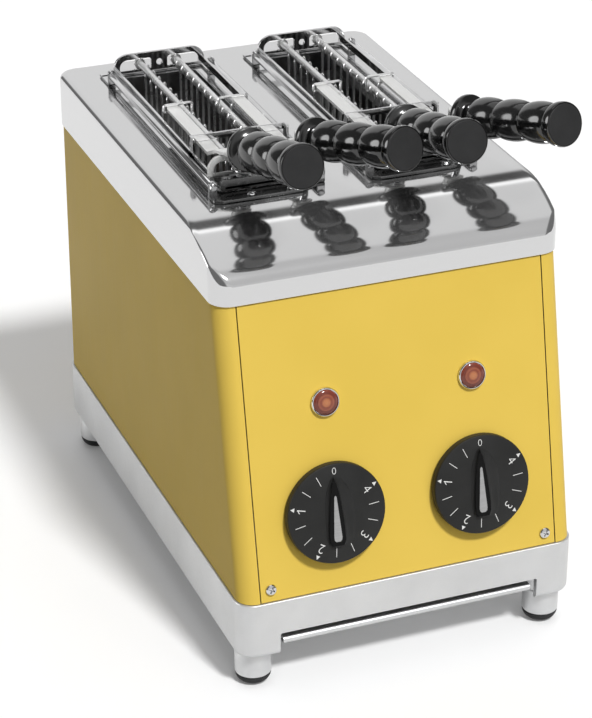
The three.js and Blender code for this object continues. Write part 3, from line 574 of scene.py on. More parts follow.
def amber_lens(centres):
    """Rings of maroon and amber round the middle of each lamp."""
    finish = Finish("amber_lamp_lens", (0.4, 0.09, 0.03), 0.12, 0.0, IOR=1.5)
    apart = [finish.node("ShaderNodeVectorMath", {"operation": "DISTANCE"},
                         [finish.point(), tuple(centre)], output="Value") for centre in centres]
    nearest = finish.math("MINIMUM", *apart)
    rings = [(0.0, (0.62, 0.26, 0.1)), (0.3, (0.5, 0.17, 0.07)), (0.44, (0.24, 0.055, 0.03)),
             (0.58, (0.36, 0.1, 0.05)), (0.72, (0.17, 0.035, 0.02)), (1.0, (0.26, 0.06, 0.035))]
    share = finish.between(nearest, 0.0, 7.8 * MM)
    finish.vary("Base Color", finish.node("ShaderNodeValToRGB", {"stops": rings}, [share]))
    finish.bump(finish.math("SINE", nearest * 5200.0), 0.3, 0.00015)
    return finish.material


def pale_floor():
    """White to look at, also in polished metal, and greyer for the light that it throws back."""
    finish = Finish("pale_studio_floor", (0.2, 0.2, 0.2), 0.9, 0.0, Specular_IOR_Level=0.0)
    mottle = finish.noise(3.0, 2.0)
    finish.vary("Base Color", finish.blend(mottle, (0.19, 0.19, 0.19), (0.21, 0.21, 0.21)))
    white = finish.node("ShaderNodeBsdfDiffuse", None, {
        "Color": finish.blend(mottle, (0.945, 0.945, 0.945), (0.955, 0.955, 0.955))})
    bright = finish.node("ShaderNodeEmission", None, {"Color": (1.0, 1.0, 1.0), "Strength": 1.0})
    white = finish.node("ShaderNodeMixShader", None, [0.1, white, bright])
    seen = finish.ray("Camera") + finish.ray("Glossy") + finish.ray("Transmission")
    thrown = Signal(finish, finish.shader.outputs[0])
    surface = finish.node("ShaderNodeMixShader", None, [seen, thrown, white])
    result = next(n for n in finish.tree.nodes if n.type == "OUTPUT_MATERIAL")
    finish.link(surface, result.inputs["Surface"])
    return finish.material


GOLD, MIRROR, LEVER, GRIP = satin_gold(), mirror_steel(), lever_plate(), glossy_grip()
BRIGHT = bright_steel("bright_steel_parts", 0.12, 0.24, (0.62, 0.62, 0.63))
CHROME = bright_steel("chromed_trim", 0.05, 0.12, (0.7, 0.7, 0.705))
WIRE = bright_steel("chromed_wire", 0.26, 0.32, (0.82, 0.82, 0.82), 0.8)
# Painted reflection: a dark steel laid on the tong bracket, its apron and the slot rails' front plate,
# standing in for dark reflections such as those of the black grips
PAINTED_REFLECTION_STEEL = bright_steel("painted_dark_reflection_plate", 0.14, 0.3, (0.17, 0.17, 0.17))
SHEET = brushed_sheet("brushed_steel_sheet", (0.5, 0.5, 0.5))
# Painted shade: a dark copy of the brushed sheet on the inner faces of the shell and cover and on the shell's
# rims, for the shade inside and in the seams
PAINTED_SHADE_SHEET = brushed_sheet("painted_shade_inner_sheet", (0.15, 0.15, 0.148), 0.6)
SILVER = brushed_sheet("brushed_silver_insert", (0.42, 0.42, 0.42))
CASTING = plain_finish(
    "satin_aluminium_casting", [(0.68, 0.685, 0.69), (0.64, 0.645, 0.65), (0.72, 0.725, 0.73)],
    [0.42, 0.36, 0.48], (700.0, 4.0), (25.0, 3.0), 0.75, (0.08, 0.00015))
SHEATH = plain_finish(
    "scaled_heater_sheath", [(0.16, 0.145, 0.13), (0.11, 0.1, 0.095), (0.24, 0.2, 0.165)],
    [0.6, 0.5, 0.75], (180.0, 5.0), None, 0.55, (0.2,), (0.35, 0.65))
RUBBER = plain_finish(
    "black_rubber", [(0.022, 0.022, 0.023), (0.018, 0.018, 0.019), (0.03, 0.03, 0.031)],
    [0.75, 0.68, 0.85], (900.0, 3.0), None, 0.0, (0.15,), (0.35, 0.7))
DIAL = plain_finish(
    "dark_dial_plastic", [(0.017, 0.017, 0.0165), (0.014, 0.014, 0.0135), (0.019, 0.019, 0.0185)],
    [0.45, 0.4, 0.52], (1400.0, 2.0), (70.0,), 0.0, (0.08, 0.00008), Specular_IOR_Level=0.28)
CAP = plain_finish(
    "matte_grip_end", [(0.02, 0.02, 0.0205), (0.017, 0.017, 0.0175), (0.023, 0.023, 0.0235)],
    [0.55, 0.5, 0.62], (1300.0, 2.0), (90.0,), 0.0, (0.1, 0.00008), Specular_IOR_Level=0.28)
# Painted shade: a darker copy of the dial plastic on the crest, for the shade round the insert
PAINTED_SHADE_CREST = plain_finish(
    "painted_shade_crest_plastic", [(0.006, 0.006, 0.006), (0.005, 0.005, 0.005), (0.008, 0.008, 0.008)],
    [0.6, 0.55, 0.68], (1300.0, 2.0), Specular_IOR_Level=0.1)
INK = plain_finish(
    "white_dial_ink", [(0.85, 0.85, 0.83), (0.78, 0.78, 0.76), (0.9, 0.9, 0.88)],
    [0.5, 0.45, 0.6], (600.0, 3.0))
CREAM = plain_finish(
    "cream_terminal_plastic", [(0.55, 0.51, 0.43), (0.5, 0.46, 0.38), (0.6, 0.56, 0.48)],
    [0.5, 0.44, 0.58], (120.0, 3.0))
LENS = amber_lens([PANEL @ (Vector((side * CONTROL_X, LAMP_UP, 2.2)) * MM) for side in (-1, 1)])


# Small fittings


def cross_head_screw(name, radius, rise):
    """A pan head with a cross recess, its seat at Z = 0."""
    shares = [(0, 0), (0.96, 0), (1, 0.12), (0.97, 0.5), (0.82, 0.82), (0.5, 0.97), (0, 1)]
    head = turned(name, [(radius * across, rise * up) for across, up in shares], 28)
    reach, width = radius * 0.62, radius * 0.15
    for x, y in ((width, reach), (reach, width)):
        carve(head, box("recess", (-x, -y, rise * 0.12), (x, y, rise * 2)))
    edit(head)
    choose_all()
    bpy.ops.transform.rotate(value=0.5, orient_axis="Z", center_override=(0, 0, 0))
    done()
    return shaded(head, 30)


# Base, feet and crumb tray


def base_casting():
    top, sill = BASE_TOP - 0.3, FOOT_TOP + 15
    outline = rounded_plan(-BASE_HALF, BASE_HALF, -BASE_END, BASE_END, 12, 10)
    casting = plan_plate("base_casting", outline, FOOT_TOP, top)
    edit(casting)
    bevel(lambda edge: abs(middle(edge).z - FOOT_TOP) < 0.1, 4, 5)
    bevel(lambda edge: abs(middle(edge).z - top) < 0.1, 0.7, 3)
    done()
    half, end = BASE_HALF - BASE_WALL, BASE_END - BASE_WALL
    carve(casting, plan_plate("hollow", rounded_plan(-half, half, -end, end, 8, 6), 0, BASE_TOP + 9))
    notch = box("notch", (-NOTCH_HALF, -BASE_END - 9, 0), (NOTCH_HALF, -BASE_END + 9, sill))
    edit(notch)
    bevel(lambda edge: abs(middle(edge).z - sill) < 0.1 and abs(middle(edge).x) > NOTCH_HALF - 1, 1.2, 3)
    done()
    parts = [shaded(carve(casting, notch), 30)]
    for side in (-1, 1):
        low, high = sorted((side * 70, side * 107))
        parts.append(box("ledge", (low, -158, FOOT_TOP + 2.1), (high, 171, FOOT_TOP + 6.1)))
        for end in (-1, 1):
            boss = turned("boss", [(3.3, 0.02), (11.25, 0.02), (11.25, 11.4), (10.6, 12), (3.3, 12),
                                   (3.3, 0.02)], 28)
            parts.append(settled(boss, place(side * FOOT_X, end * FOOT_Y, FOOT_TOP)))
    casting = flattened(settled(joined("base_casting", *parts)))
    fitted(casting, "housing", CASTING, "cast_aluminium", "base_frame")


def feet():
    barrel = turned("foot_barrel", [(0, 6.3), (10.6, 6.3), (11.25, 7), (11.25, 23.1), (11, 23.55),
                                    (10.6, 23.7), (3, 23.7), (3, 31.7), (0, 31.7)], 40)
    pad = turned("foot_tread", [(0, 0), (4.5, 0), (6.6, 0.35), (8.5, 1.25), (9.9, 2.6), (10.7, 4.1),
                                (11, 5.3), (10.9, 5.8), (10.6, 6), (0, 6)], 40, 40)
    for end, y in (("front", -FOOT_Y), ("rear", FOOT_Y)):
        for hand, side in HANDS:
            where, corner = HOME @ place(side * FOOT_X, y, 0), f"{end}_{hand}"
            fit_copy(barrel, f"foot_barrel_{corner}", where,
                     "housing", CASTING, "cast_aluminium", f"foot_{corner}")
            fit_copy(pad, f"foot_tread_{corner}", where, "housing", RUBBER, "rubber", f"foot_pad_{corner}")
    discard(barrel, pad)


def crumb_tray():
    """A shallow pan, open in front between its side walls, and a hemmed lip."""
    half, front, hem_y, hem_z = 81.5, -165.4, -169.35, 1.3
    pan = box("crumb_pan", (-half, front + 0.1, 0.4), (half, 154, 7.6))
    edit(pan)
    choose("FACE", lambda face: face.normal.z > 0.9)
    bpy.ops.mesh.inset(thickness=0.8 * MM)
    bpy.ops.mesh.extrude_region_move(TRANSFORM_OT_translate={"value": (0, 0, -6.4 * MM)})
    done()
    carve(pan, box("mouth", (-80.2, -170, 2.4), (80.2, -160, 9)))
    hem = [(front, -0.85)] + arc(hem_y, hem_z, 2.15, 270, 90, 12)
    hem += [(front, 3.45), (front, 2.6)] + arc(hem_y, hem_z, 1.3, 90, 270, 8) + [(front, 0)]
    lip = shaded(plate("crumb_lip", [(-half, y, z) for y, z in hem], (2 * half, 0, 0)), 30)
    tray = joined("crumb_drawer_pan", lip, softened(pan, 0.25))
    settled(tray, HOME @ place(0, 0, FOOT_TOP + 6))
    fitted(tray, "crumb_drawer", CASTING, "sheet_steel", "crumb_tray")


# Shell


def shell_side():
    """Sheet that wraps round both corners, gold outside, with painted shade on its rims and inside: a dark
    sheet there darkens the seams and the inside.
    """
    centre_x, centre_y = SHELL_HALF - SHELL_CORNER, SHELL_END - SHELL_CORNER
    line = [(SEAM + SEAM_GAP, -SHELL_END)] + arc(centre_x, -centre_y, SHELL_CORNER, -90, 0, 12)
    line += arc(centre_x, centre_y, SHELL_CORNER, 0, 90, 12) + [(SEAM, SHELL_END)]
    side = drawn("shell_side_right", [(x, y, BASE_TOP) for x, y in line])
    choose_all()
    rise = (SHELL_TOP - BASE_TOP) * MM
    bpy.ops.mesh.extrude_region_move(TRANSFORM_OT_translate={"value": (0, 0, rise)})
    choose("VERT", lambda corner: corner.co.z > SHELL_TOP * MM - rise / 2 and corner.co.y < 0)
    bpy.ops.transform.translate(value=(0, LEAN_BACK * MM, 0))
    turn_outward()
    mesh = bmesh.from_edit_mesh(side.data)
    if max(mesh.faces, key=lambda face: face.calc_area()).normal.x < 0:
        bpy.ops.mesh.flip_normals()
    done()
    modified(coated(side, GOLD, PAINTED_SHADE_SHEET), "SOLIDIFY", thickness=1.2 * MM, offset=-1, use_even_offset=True,
             material_offset=1, material_offset_rim=1)
    shaded(side, 25)
    left = shaded(mirrored(side, "shell_side_left"), 25)
    fitted(settled(side), "housing", None, "gold_panel", "side_panel_right")
    fitted(settled(left), "housing", None, "gold_panel", "side_panel_left")


def top_cover():
    """A pressed cap: a short skirt, a crease, a rounded brow and folded side edges."""
    low, crease, fold, corner = SHELL_TOP + 0.3, SHELL_TOP + 13, 4.0, 12
    front, back, half, rim, steps = -136.4, 173.8, 109.8, 0.5, 26

    def slice_at(height, inset, start, front_radius):
        width = half - inset
        outline = rounded_plan(-width, width, start, back - inset, front_radius, 8, corner - inset)
        return [(x, y, height) for x, y in outline]

    loops = [slice_at(low, rim, front + rim, corner - rim), slice_at(low + rim, 0, front, corner),
             slice_at(crease, 0, front, corner)]
    brow = [(front, crease), (front + 3.5, COVER_TOP - 12.3), (-105.1, COVER_TOP), (-78.4, COVER_TOP)]
    for step in range(1, steps + 1):
        share = step / steps
        rest = 1 - share
        weights = [rest ** 3, 3 * rest ** 2 * share, 3 * rest * share ** 2, share ** 3]
        y, z = (sum(weight * point[axis] for weight, point in zip(weights, brow)) for axis in (0, 1))
        rise = min(max(z - COVER_TOP + fold, 0), fold)
        inset = fold - math.sqrt(max(fold * fold - rise * rise, 0))
        loops.append(slice_at(z, inset, y, max(3.5, corner - (y - front) * 0.9)))
    cover = lofted("top_cover_pressing", loops, 20)
    for side in (-1, 1):
        x = side * SLOT_X
        outline = rounded_plan(x - SLOT_HALF, x + SLOT_HALF, SLOT_FRONT, SLOT_BACK, 3, 5)
        carve(cover, plan_plate("slot", outline, SHELL_TOP - 9, COVER_TOP + 9))
    edit(cover)
    choose("FACE", lambda face: middle(face).z < low + 0.1 and abs(face.normal.z) > 0.9
           or abs(face.normal.z) < 0.1 and SLOT_FRONT - 1 < middle(face).y < SLOT_BACK + 1
           and abs(abs(middle(face).x) - SLOT_X) < 30)
    bpy.ops.mesh.delete(type="FACE")
    done()
    # The inner faces take the painted shade sheet
    modified(coated(cover, MIRROR, PAINTED_SHADE_SHEET), "SOLIDIFY", thickness=1.5 * MM, offset=-1, use_even_offset=True,
             material_offset=1)
    flattened(shaded(cover, 20), 90)
    fitted(settled(cover), "housing", None, "mirror_steel", "top_cover")


def slot_rails():
    """Two round rods in upright tabs, on a screwed plate at each end of the slot."""
    seat, length, sheet, bend = 0.3, 199.5, 1.9, 2.6
    outer, rear_tab = 36.6, 130
    parts = []
    for side in (-1, 1):
        rod = turned("rod", [(0, 0), (1.6, 0), (2.2, 0.35), (2.5, 1), (2.5, length - 1), (2.2, length - 0.35),
                             (1.6, length), (0, length)], 24)
        parts.append(settled(rod, place(side * 34, -66, 7) @ TO_BACK))
        low, high = sorted((side * 31.8, side * outer))
        right = [(high + bend * (math.cos(a) - 1), 8.4 + bend * math.sin(a)) for a in (0, 0.5, 1.05, 1.57)]
        outline = [(low, seat), (high, seat)] + right + [(low + high - x, z) for x, z in reversed(right)]
        for y in (-64.5, rear_tab):
            parts.append(softened(plate("tab", [(x, y, z) for x, z in outline], (0, 2, 0)), 0.3))
        parts.append(softened(box("strap", (low, rear_tab, seat), (high, 147, sheet)), 0.3))
    front = rounded_plate("front_plate", [(-outer, -62.5), (-outer, -72), (-31, -74.5), (19, -74.5),
                                          (23, -71), (23, -65), (outer, -65), (outer, -62.5)], 2.5, seat, 2.3)
    softened(front, 0.4)
    parts.append(softened(box("rear_plate", (-outer, 144, seat), (outer, 150, sheet)), 0.4))
    for x in (-12, 13):
        parts.append(settled(cross_head_screw("screw", 3.2, 1.7), place(x, -69.5, 2.3)))
    # The front plate takes the dark steel, a painted reflection
    rails = joined("slot_rails", *[coated(part, CHROME) for part in parts], coated(front, PAINTED_REFLECTION_STEEL))
    for hand, side in HANDS:
        fit_copy(rails, f"slot_rail_set_{hand}", HOME @ place(side * SLOT_X, 0, COVER_TOP),
                 "housing", None, "bright_steel", f"slot_rails_{hand}")
    discard(rails)


def heaters():
    bend, top, front, back = 30.0, COVER_TOP - 62, -86, 100
    line = [(0, front, top), (0, back, top)]
    line += [(0, back + 10 + 1.1 * y, z) for y, z in arc(0, top - bend, bend, 90, -90, 20)[1:-1]]
    line += [(0, back, top - 2 * bend), (0, front, top - 2 * bend)]
    hairpin = wire("hairpin", line, 3.4, 12)
    for name, x in (("outer_left", -84), ("inner_left", -16), ("inner_right", 16), ("outer_right", 84)):
        fit_copy(hairpin, f"heater_hairpin_{name}", HOME @ place(x, 0, 0),
                 "housing", SHEATH, "heater_sheath", f"heater_{name}")
    discard(hairpin)


# Control panel

CREST_OFFSET = -1.5   # the ridge is steep on its left and slopes off to its right
FIN_FOOT = [(x if x > 0 else 0.66 * x, y) for x, y in
            shield([(0, 23.6), (4.2, 21.6), (8.4, 15.6), (10.9, 9.6), (11.6, 3), (11.6, -6), (11.3, -13.6),
                    (10, -18.4), (6.4, -21.2)])]
FIN_CREST = [(x + CREST_OFFSET, y) for x, y in
             shield([(0, 22.8), (1.3, 19), (2.2, 15), (3, 10), (3.7, 4), (4.4, -3), (4.9, -10), (4.9, -15.8),
                     (3.6, -18.9)])]
# Heights on the ridge, each with how far its outline has drawn in from foot to crest
FIN_SLICES = ((4.9, 0), (5.55, 0.06), (5.8, 0.3), (6.2, 0.55), (6.8, 0.78), (7.5, 0.92), (8.2, 0.985),
              (8.45, 1))


def knob_fin():
    """A low pointer ridge: its shield-shaped foot sweeps up to a long crest, darkened with painted shade by a
    plate laid on it.
    """
    loops = []
    for height, share in FIN_SLICES:
        loops.append([(low[0] + (high[0] - low[0]) * share, low[1] + (high[1] - low[1]) * share, height)
                      for low, high in zip(FIN_FOOT, FIN_CREST)])
    return lofted("fin", loops, 50)


def dial_figure(text, size):
    """A printed figure, its middle at the origin."""
    only()
    bpy.ops.object.text_add()
    letter = bpy.context.object.data
    letter.body = text
    letter.size = size * MM
    letter.align_x, letter.align_y = "CENTER", "CENTER"
    letter.extrude = INK_RISE / 2 * MM
    letter.offset = -0.1 * MM
    letter.resolution_u = 4
    bpy.ops.object.convert(target="MESH")
    return bpy.context.object


def dial_marks():
    """Figures 0 to 4, arrows outside all of them but 0, and two ticks after each."""
    marks = []
    for step in range(13):
        turn = Matrix.Rotation(math.radians(25 * step), 4, "Z")
        figure, ticks = divmod(step, 3)
        if ticks:
            marks.append(settled(box("tick", (-0.19, 20.5, 0), (0.19, 27, INK_RISE)), turn))
            continue
        radius, size = (22.7, 8.2) if figure else (26.2, 6.2)
        marks.append(settled(dial_figure(str(figure), size), turn @ place(0, radius, INK_RISE / 2)))
        if figure:
            arrow = plan_plate("arrow", [(-1.3, 27.5), (1.3, 27.5), (0, 30)], 0, INK_RISE)
            marks.append(settled(arrow, turn))
        if figure == 1:
            flag = plan_plate("flag", [(-0.2, 24.85), (-0.2, 25.5), (-1.9, 24.1), (-1.9, 23.5)], 0, INK_RISE)
            marks.append(settled(flag, turn))
    return settled(joined("dial_marks", *marks), place(0, 0, DIAL_RISE))


def timer_knobs():
    disc = turned("dial_disc", [(3.3, 0), (30.4, 0), (31, 0.6), (31, 4.2), (30.9, 4.8), (30.6, 5.3),
                                (30.2, DIAL_RISE), (0, DIAL_RISE), (0, 0.5), (3.3, 0.5), (3.3, 0)], 72)
    outline = shield([(0, 12.3), (0.5, 12), (0.8, 11.2), (2.6, -13.8), (2.3, -15.4), (1.3, -16.4)])
    insert = softened(plan_plate("dial_insert", [(x + CREST_OFFSET, y) for x, y in outline], 8.2, 8.75), 0.12)
    # A thin plate over the crest carries the painted shade
    crest = plan_plate("dial_crest_painted_shade", FIN_CREST, 8.3, 8.55)
    marks = dial_marks()
    knob = joined("dial_knob", disc, knob_fin())
    for hand, side in HANDS:
        where, body = PANEL @ place(side * CONTROL_X, KNOB_UP, 1.6), f"timer_dial_{hand}"
        fit_copy(knob, f"dial_knob_{hand}", where, body, DIAL, "knob_plastic", f"timer_knob_{hand}")
        fit_copy(insert, f"dial_insert_{hand}", where, body, SILVER, "lever_steel")
        fit_copy(crest, f"dial_crest_painted_shade_{hand}", where, body, PAINTED_SHADE_CREST, "knob_plastic")
        fit_copy(marks, f"dial_marks_{hand}", where, body, INK, "knob_plastic")
    discard(knob, insert, crest, marks)


def lamps():
    bezel = turned("lamp_rim", [(5.2, -22), (6.4, -22), (6.4, 0.3), (8.6, 0.3), (9, 0.6), (9, 1.3), (8.75, 2),
                                (8.35, 2.4), (7.95, 2.3), (7.8, 2), (7.8, 0.9), (5.2, 0.9), (5.2, -22)], 56)
    lens = turned("lamp_window", [(0, -20), (4.8, -20), (4.8, 1), (7.5, 1), (7.6, 1.9), (7.2, 2.35),
                                  (6, 2.75), (4.4, 3.1), (2.4, 3.33), (0, 3.4)], 56, 50)
    for hand, side in HANDS:
        where = PANEL @ place(side * CONTROL_X, LAMP_UP, 0)
        fit_copy(bezel, f"lamp_rim_{hand}", where, "housing", CHROME, "mirror_steel", f"lamp_bezel_{hand}")
        fit_copy(lens, f"lamp_window_{hand}", where, "housing", LENS, "lamp_lens", f"lamp_lens_{hand}")
    discard(bezel, lens)


def panel_screws():
    head = settled(cross_head_screw("panel_screw_head", 3.4, 1.9), place(0, 0, 0.3))
    shank = turned("shank", [(0, -9), (1.2, -9), (1.6, -8.2), (1.6, 0.4), (0, 0.4)], 16)
    screw = joined("panel_fixing", head, shank)
    for hand, side in HANDS:
        fit_copy(screw, f"panel_fixing_{hand}", PANEL @ place(side * 89.5, 7.8, 0),
                 "housing", CHROME, "bright_steel", f"panel_screw_{hand}")
    discard(screw)


def gland():
    collar = turned("gland_collar", [(3.6, -7), (6, -7), (6, 0), (8.6, 0), (9, 0.5), (9, 2.6), (8.5, 3),
                                     (7.4, 3.4), (6.4, 11.4), (5.9, 12), (4.2, 12), (3.6, 11.4),
                                     (3.6, -7)], 40)
    where = HOME @ place(62, SHELL_END + 0.3, BASE_TOP + 22) @ TO_BACK
    fitted(settled(collar, where), "housing", RUBBER, "rubber", "cable_gland")


# Tongs


def bow(name, y):
    """An arched plate with a window for each bar and a hole in its middle post."""
    corner, turn = 9.0, 5.0
    outline = [(-BOW_HALF, BOW_LOW), (BOW_HALF, BOW_LOW)]
    outline += arc(BOW_HALF - corner, BOW_TOP - corner, corner, 0, 90, 8)
    outline += arc(-BOW_HALF + corner, BOW_TOP - corner, corner, 90, 180, 8)
    sheet = plate(name, [(x, y - 1, z) for x, z in outline], (0, 2, 0))
    inner, outer, low, high = 5.5, 27.0, BOW_LOW + 2, BOW_TOP - 4
    window = [(inner, low), (outer, low)] + arc(outer - turn, high - turn, turn, 0, 90, 6)
    window += [(inner + 1.2, high), (inner, high - 1.2)]
    for side in (-1, 1):
        carve(sheet, plate("window", [(side * x, y - 4, z) for x, z in window], (0, 8, 0)))
    peg = turned("peg", [(0, -5), (2, -5), (2, 5), (0, 5)], 24)
    carve(sheet, settled(peg, place(0, y, 11) @ Matrix.Rotation(math.pi / 2, 4, "X")))
    return softened(sheet, 0.35)


def tong_frame():
    """Two bows joined by side strips and a bridge, and a screwed bracket for the levers' pins."""
    parts, sheet = [bow("rear_bow", REAR_BOW)], 1.6
    back, front, foot, top = -13.4, -19, 5.5, 20.3
    for side in (-1, 1):
        low, high = sorted((side * (BOW_HALF - sheet), side * BOW_HALF))
        parts.append(softened(box("strip", (low, FRONT_BOW, foot), (high, REAR_BOW, 10.5)), 0.3))
        leg = [(low, front, foot), (low, back, foot), (low, back, top), (low, front, top)]
        parts.append(softened(plate("leg", rounded(leg, 1.4, 4, True), (sheet, 0, 0)), 0.25))
    parts.append(softened(box("bridge", (-BOW_HALF, back - sheet, top - 4), (BOW_HALF, back, top)), 0.3))
    left, right, edge = -29, 18, -63
    bracket = rounded_plate("bracket", [(left, edge), (right, edge), (20.5, -60), (BOW_HALF, -60),
                                        (BOW_HALF, -44), (left, -44)], 3, 4, 6)
    for side, x in PIN_X.items():
        hole = turned("hole", [(0, 0), (2.8, 0), (2.8, 9), (0, 9)], 20)
        carve(bracket, settled(hole, place(side * x, PIN_Y, 1)))
    apron = rounded([(left, edge, 3), (right, edge, 3), (right, edge, 10), (left, edge, 10)], 2.4, 5, True)
    # The bracket and the apron take the dark steel, a painted reflection of the black grips
    dark = [softened(bracket, 0.3), softened(plate("apron", apron, (0, 1.5, 0)), 0.35)]
    for x, y in ((-22, -55.5), (11, -56.5)):
        parts.append(settled(cross_head_screw("screw", 2.9, 1.6), place(x, y, 6)))
    parts = [coated(part, CHROME) for part in parts] + [coated(part, PAINTED_REFLECTION_STEEL) for part in dark]
    return joined("tong_chassis", *parts, coated(bow("front_bow", FRONT_BOW), LEVER))


def rack(side):
    """A bar with hooked wires, a shelf of feet below and a ring that holds the lever's end."""
    x, length = side * BAR_X, 189.6
    shelf, post, foot = x - side * 8, x - side * 0.4, -135
    first, last, count = -37.0, 128.0, 16
    bar = turned("bar", [(0, 0), (2.9, 0), (3.6, 0.5), (3.6, 2.6), (3.2, 3), (2.25, 3), (2.25, length - 3),
                         (3.2, length - 3), (3.6, length - 2.6), (3.6, length - 0.5), (2.9, length),
                         (0, length)], 20)
    settled(bar, place(x, -49.3, BAR_RISE) @ TO_BACK)
    hook = [(x - side * across, 0, z) for across, z in arc(0, BAR_RISE, 2.95, -90, 45, 8)]
    line = rounded([(shelf, 0, foot), (post, 0, foot), (post, 0, BAR_RISE - 5.2), hook[1]], 2.2)
    upright = wire("upright", line + hook[2:], 0.8)
    parts = [bar]
    for step in range(count):
        y = first + (last - first) * step / (count - 1)
        parts.append(settled(copy_of(upright, "upright"), place(0, y, 0)))
    discard(upright)
    for name, rail_x, z, radius in (("rail", x, -136.2, 1.3), ("shelf_rail", shelf + side * 1.2, -136, 1.0)):
        parts.append(wire(name, [(rail_x, first, z), (rail_x, last, z)], radius))
    ring = [(side * across, CLIP_Y, z) for across, z in
            ((27.4, 12.4), (27.4, 17.2), (8.9, 17.2), (8.9, 7), (16.6, 7), (18, 12))]
    parts.append(wire("clip", rounded(ring, 1.8, 4, True), 0.9, 8, True))
    return joined("rack", *parts)


def lever(side):
    """A flat strap that rises over the bow, an eye on the pin, and a tang into the grip."""
    pin_x, inner, outer = side * PIN_X[side], side * 17.6, side * 26
    low, high, sheet = LEVER_LOW, LEVER_HIGH, LEVER_SHEET
    profile = [(PIN_Y, high), (-43, high), (-32, low), (48.5, low), (48.5, low + sheet), (-31, low + sheet),
               (-42, high + sheet), (PIN_Y, high + sheet)]
    strap = plate("strap", rounded([(-60, y, z) for y, z in profile], 2.0, 3, True), (120, 0, 0))
    plan = [(pin_x + side * 5, PIN_Y), (outer, -41), (outer, 43), (outer - side * 1.2, 46.6),
            (outer - side * 3.5, 48), (inner + side * 1.2, 46.6), (inner, 43), (inner, -32),
            (pin_x - side * 5, -44), (pin_x - side * 5, PIN_Y)]
    strap = softened(carve(strap, plan_plate("footprint", plan, 0, 40), "INTERSECT"), 0.3)
    eye = turned("eye", [(2.8, high), (5.7, high), (6, high + 0.4), (6, 29.4), (5.6, 29.9), (2.8, 29.9),
                         (2.8, high)], 28)
    settled(eye, place(pin_x, PIN_Y, 0))
    tang = turned("tang", [(0, -8.2), (3.5, -8.2), (3.5, 45.5), (3, 46), (0, 46)], 20)
    return joined("lever", strap, eye, settled(tang, grip_place(side)))


def grip_place(side):
    """Where the grip's own axis stands: it rises, and the right one splays as well."""
    tilt, splay, start = math.radians(15), math.radians(14.5) if side > 0 else 0.0, 8
    along = Vector((math.cos(tilt) * math.sin(splay), -math.cos(tilt) * math.cos(splay), math.sin(tilt)))
    where = place(side * PIN_X[side] + start * math.sin(splay), PIN_Y - start * math.cos(splay), GRIP_RISE)
    return where @ along.to_track_quat("Z", "Y").to_matrix().to_4x4()


def grip_profile():
    """A collar, three bulges and a flared end, bored for the tang."""
    start, pitch, neck, waist, belly = 9.9, 24.5667, 9.0, 9.9, 12.6
    line = [(0, 46.3), (3.8, 46.3), (3.8, 0), (11.8, 0), (13, 0.6), (13.3, 1.7), (13.3, 3.9), (13, 4.6),
            (11.8, 5.1), (9.4, 5.5), (8.6, 6.2), (8.6, 8.9)]
    for bulge in range(3):
        for step in range(13):
            share = step / 12
            low = neck if bulge == 0 and share < 0.5 else waist
            swell = math.sin(math.pi * share) ** 0.62 if 0 < share < 1 else 0.0
            line.append((low + (belly - low) * swell, start + pitch * (bulge + share)))
    line = [point for index, point in enumerate(line)
            if index == 0 or (Vector(point) - Vector(line[index - 1])).length > 0.05]
    return line + [(11.2, 84.1), (12.5, 85.3), (13.1, 87), (13.3, 89), (13.2, 91), (12.9, 91.7), (12.5, 91.8),
                   (12.35, 91.2), (0, 91.2)]


def torsion_spring():
    radius, pitch, turns, steps = 4.4, 2.5, 4, 20
    coil = [(-7.0, radius, 0)]
    for step in range(turns * steps + 1):
        angle = math.pi / 2 - 2 * math.pi * step / steps
        coil.append((radius * math.cos(angle), radius * math.sin(angle), pitch * step / steps))
    return wire("spring", coil, 0.7)


def tongs():
    chassis = tong_frame()
    racks = {side: rack(side) for side in (-1, 1)}
    levers = {side: lever(side) for side in (-1, 1)}
    grip = turned("grip", grip_profile(), 44, 35)
    cap = turned("cap", [(0, 91), (12.25, 91), (12.25, 91.75), (11.9, 92), (0, 92)], 44)
    pin = turned("pin", [(0, 2.2), (3.1, 2.2), (3.5, 2.6), (3.5, 3.7), (2.5, 3.7), (2.5, 29.2), (1.9, 29.9),
                         (0, 29.9)], 24)
    spring = torsion_spring()
    for hand, slot_side in HANDS:
        home, tong = HOME @ place(slot_side * SLOT_X, 0, COVER_TOP), f"{hand}_tong"
        fit_copy(chassis, f"{tong}_chassis", home, tong, None, "bright_steel", f"{tong}_frame")
        fit_copy(spring, f"{tong}_torsion_spring", home @ place(-PIN_X[-1], PIN_Y, 7.2),
                 tong, WIRE, "bright_steel", f"{tong}_spring")
        for arm, side in HANDS:
            handle = f"{tong}_handle_{arm}"
            fit_copy(racks[side], f"{tong}_rack_{arm}", home,
                     f"{tong}_rack_{arm}", WIRE, "bright_steel", f"{tong}_grid_{arm}")
            fit_copy(levers[side], f"{tong}_strap_{arm}", home,
                     handle, LEVER, "lever_steel", f"{tong}_lever_{arm}")
            fit_copy(pin, f"{tong}_pivot_{arm}", home @ place(side * PIN_X[side], PIN_Y, 0),
                     tong, CHROME, "bright_steel", f"{tong}_pin_{arm}")
            where = home @ grip_place(side)
            fit_copy(grip, f"{tong}_handle_grip_{arm}", where,
                     handle, GRIP, "grip_plastic", f"{tong}_grip_{arm}")
            fit_copy(cap, f"{tong}_grip_end_{arm}", where, handle, CAP, "grip_plastic")
    discard(chassis, spring, grip, cap, pin, *racks.values(), *levers.values())


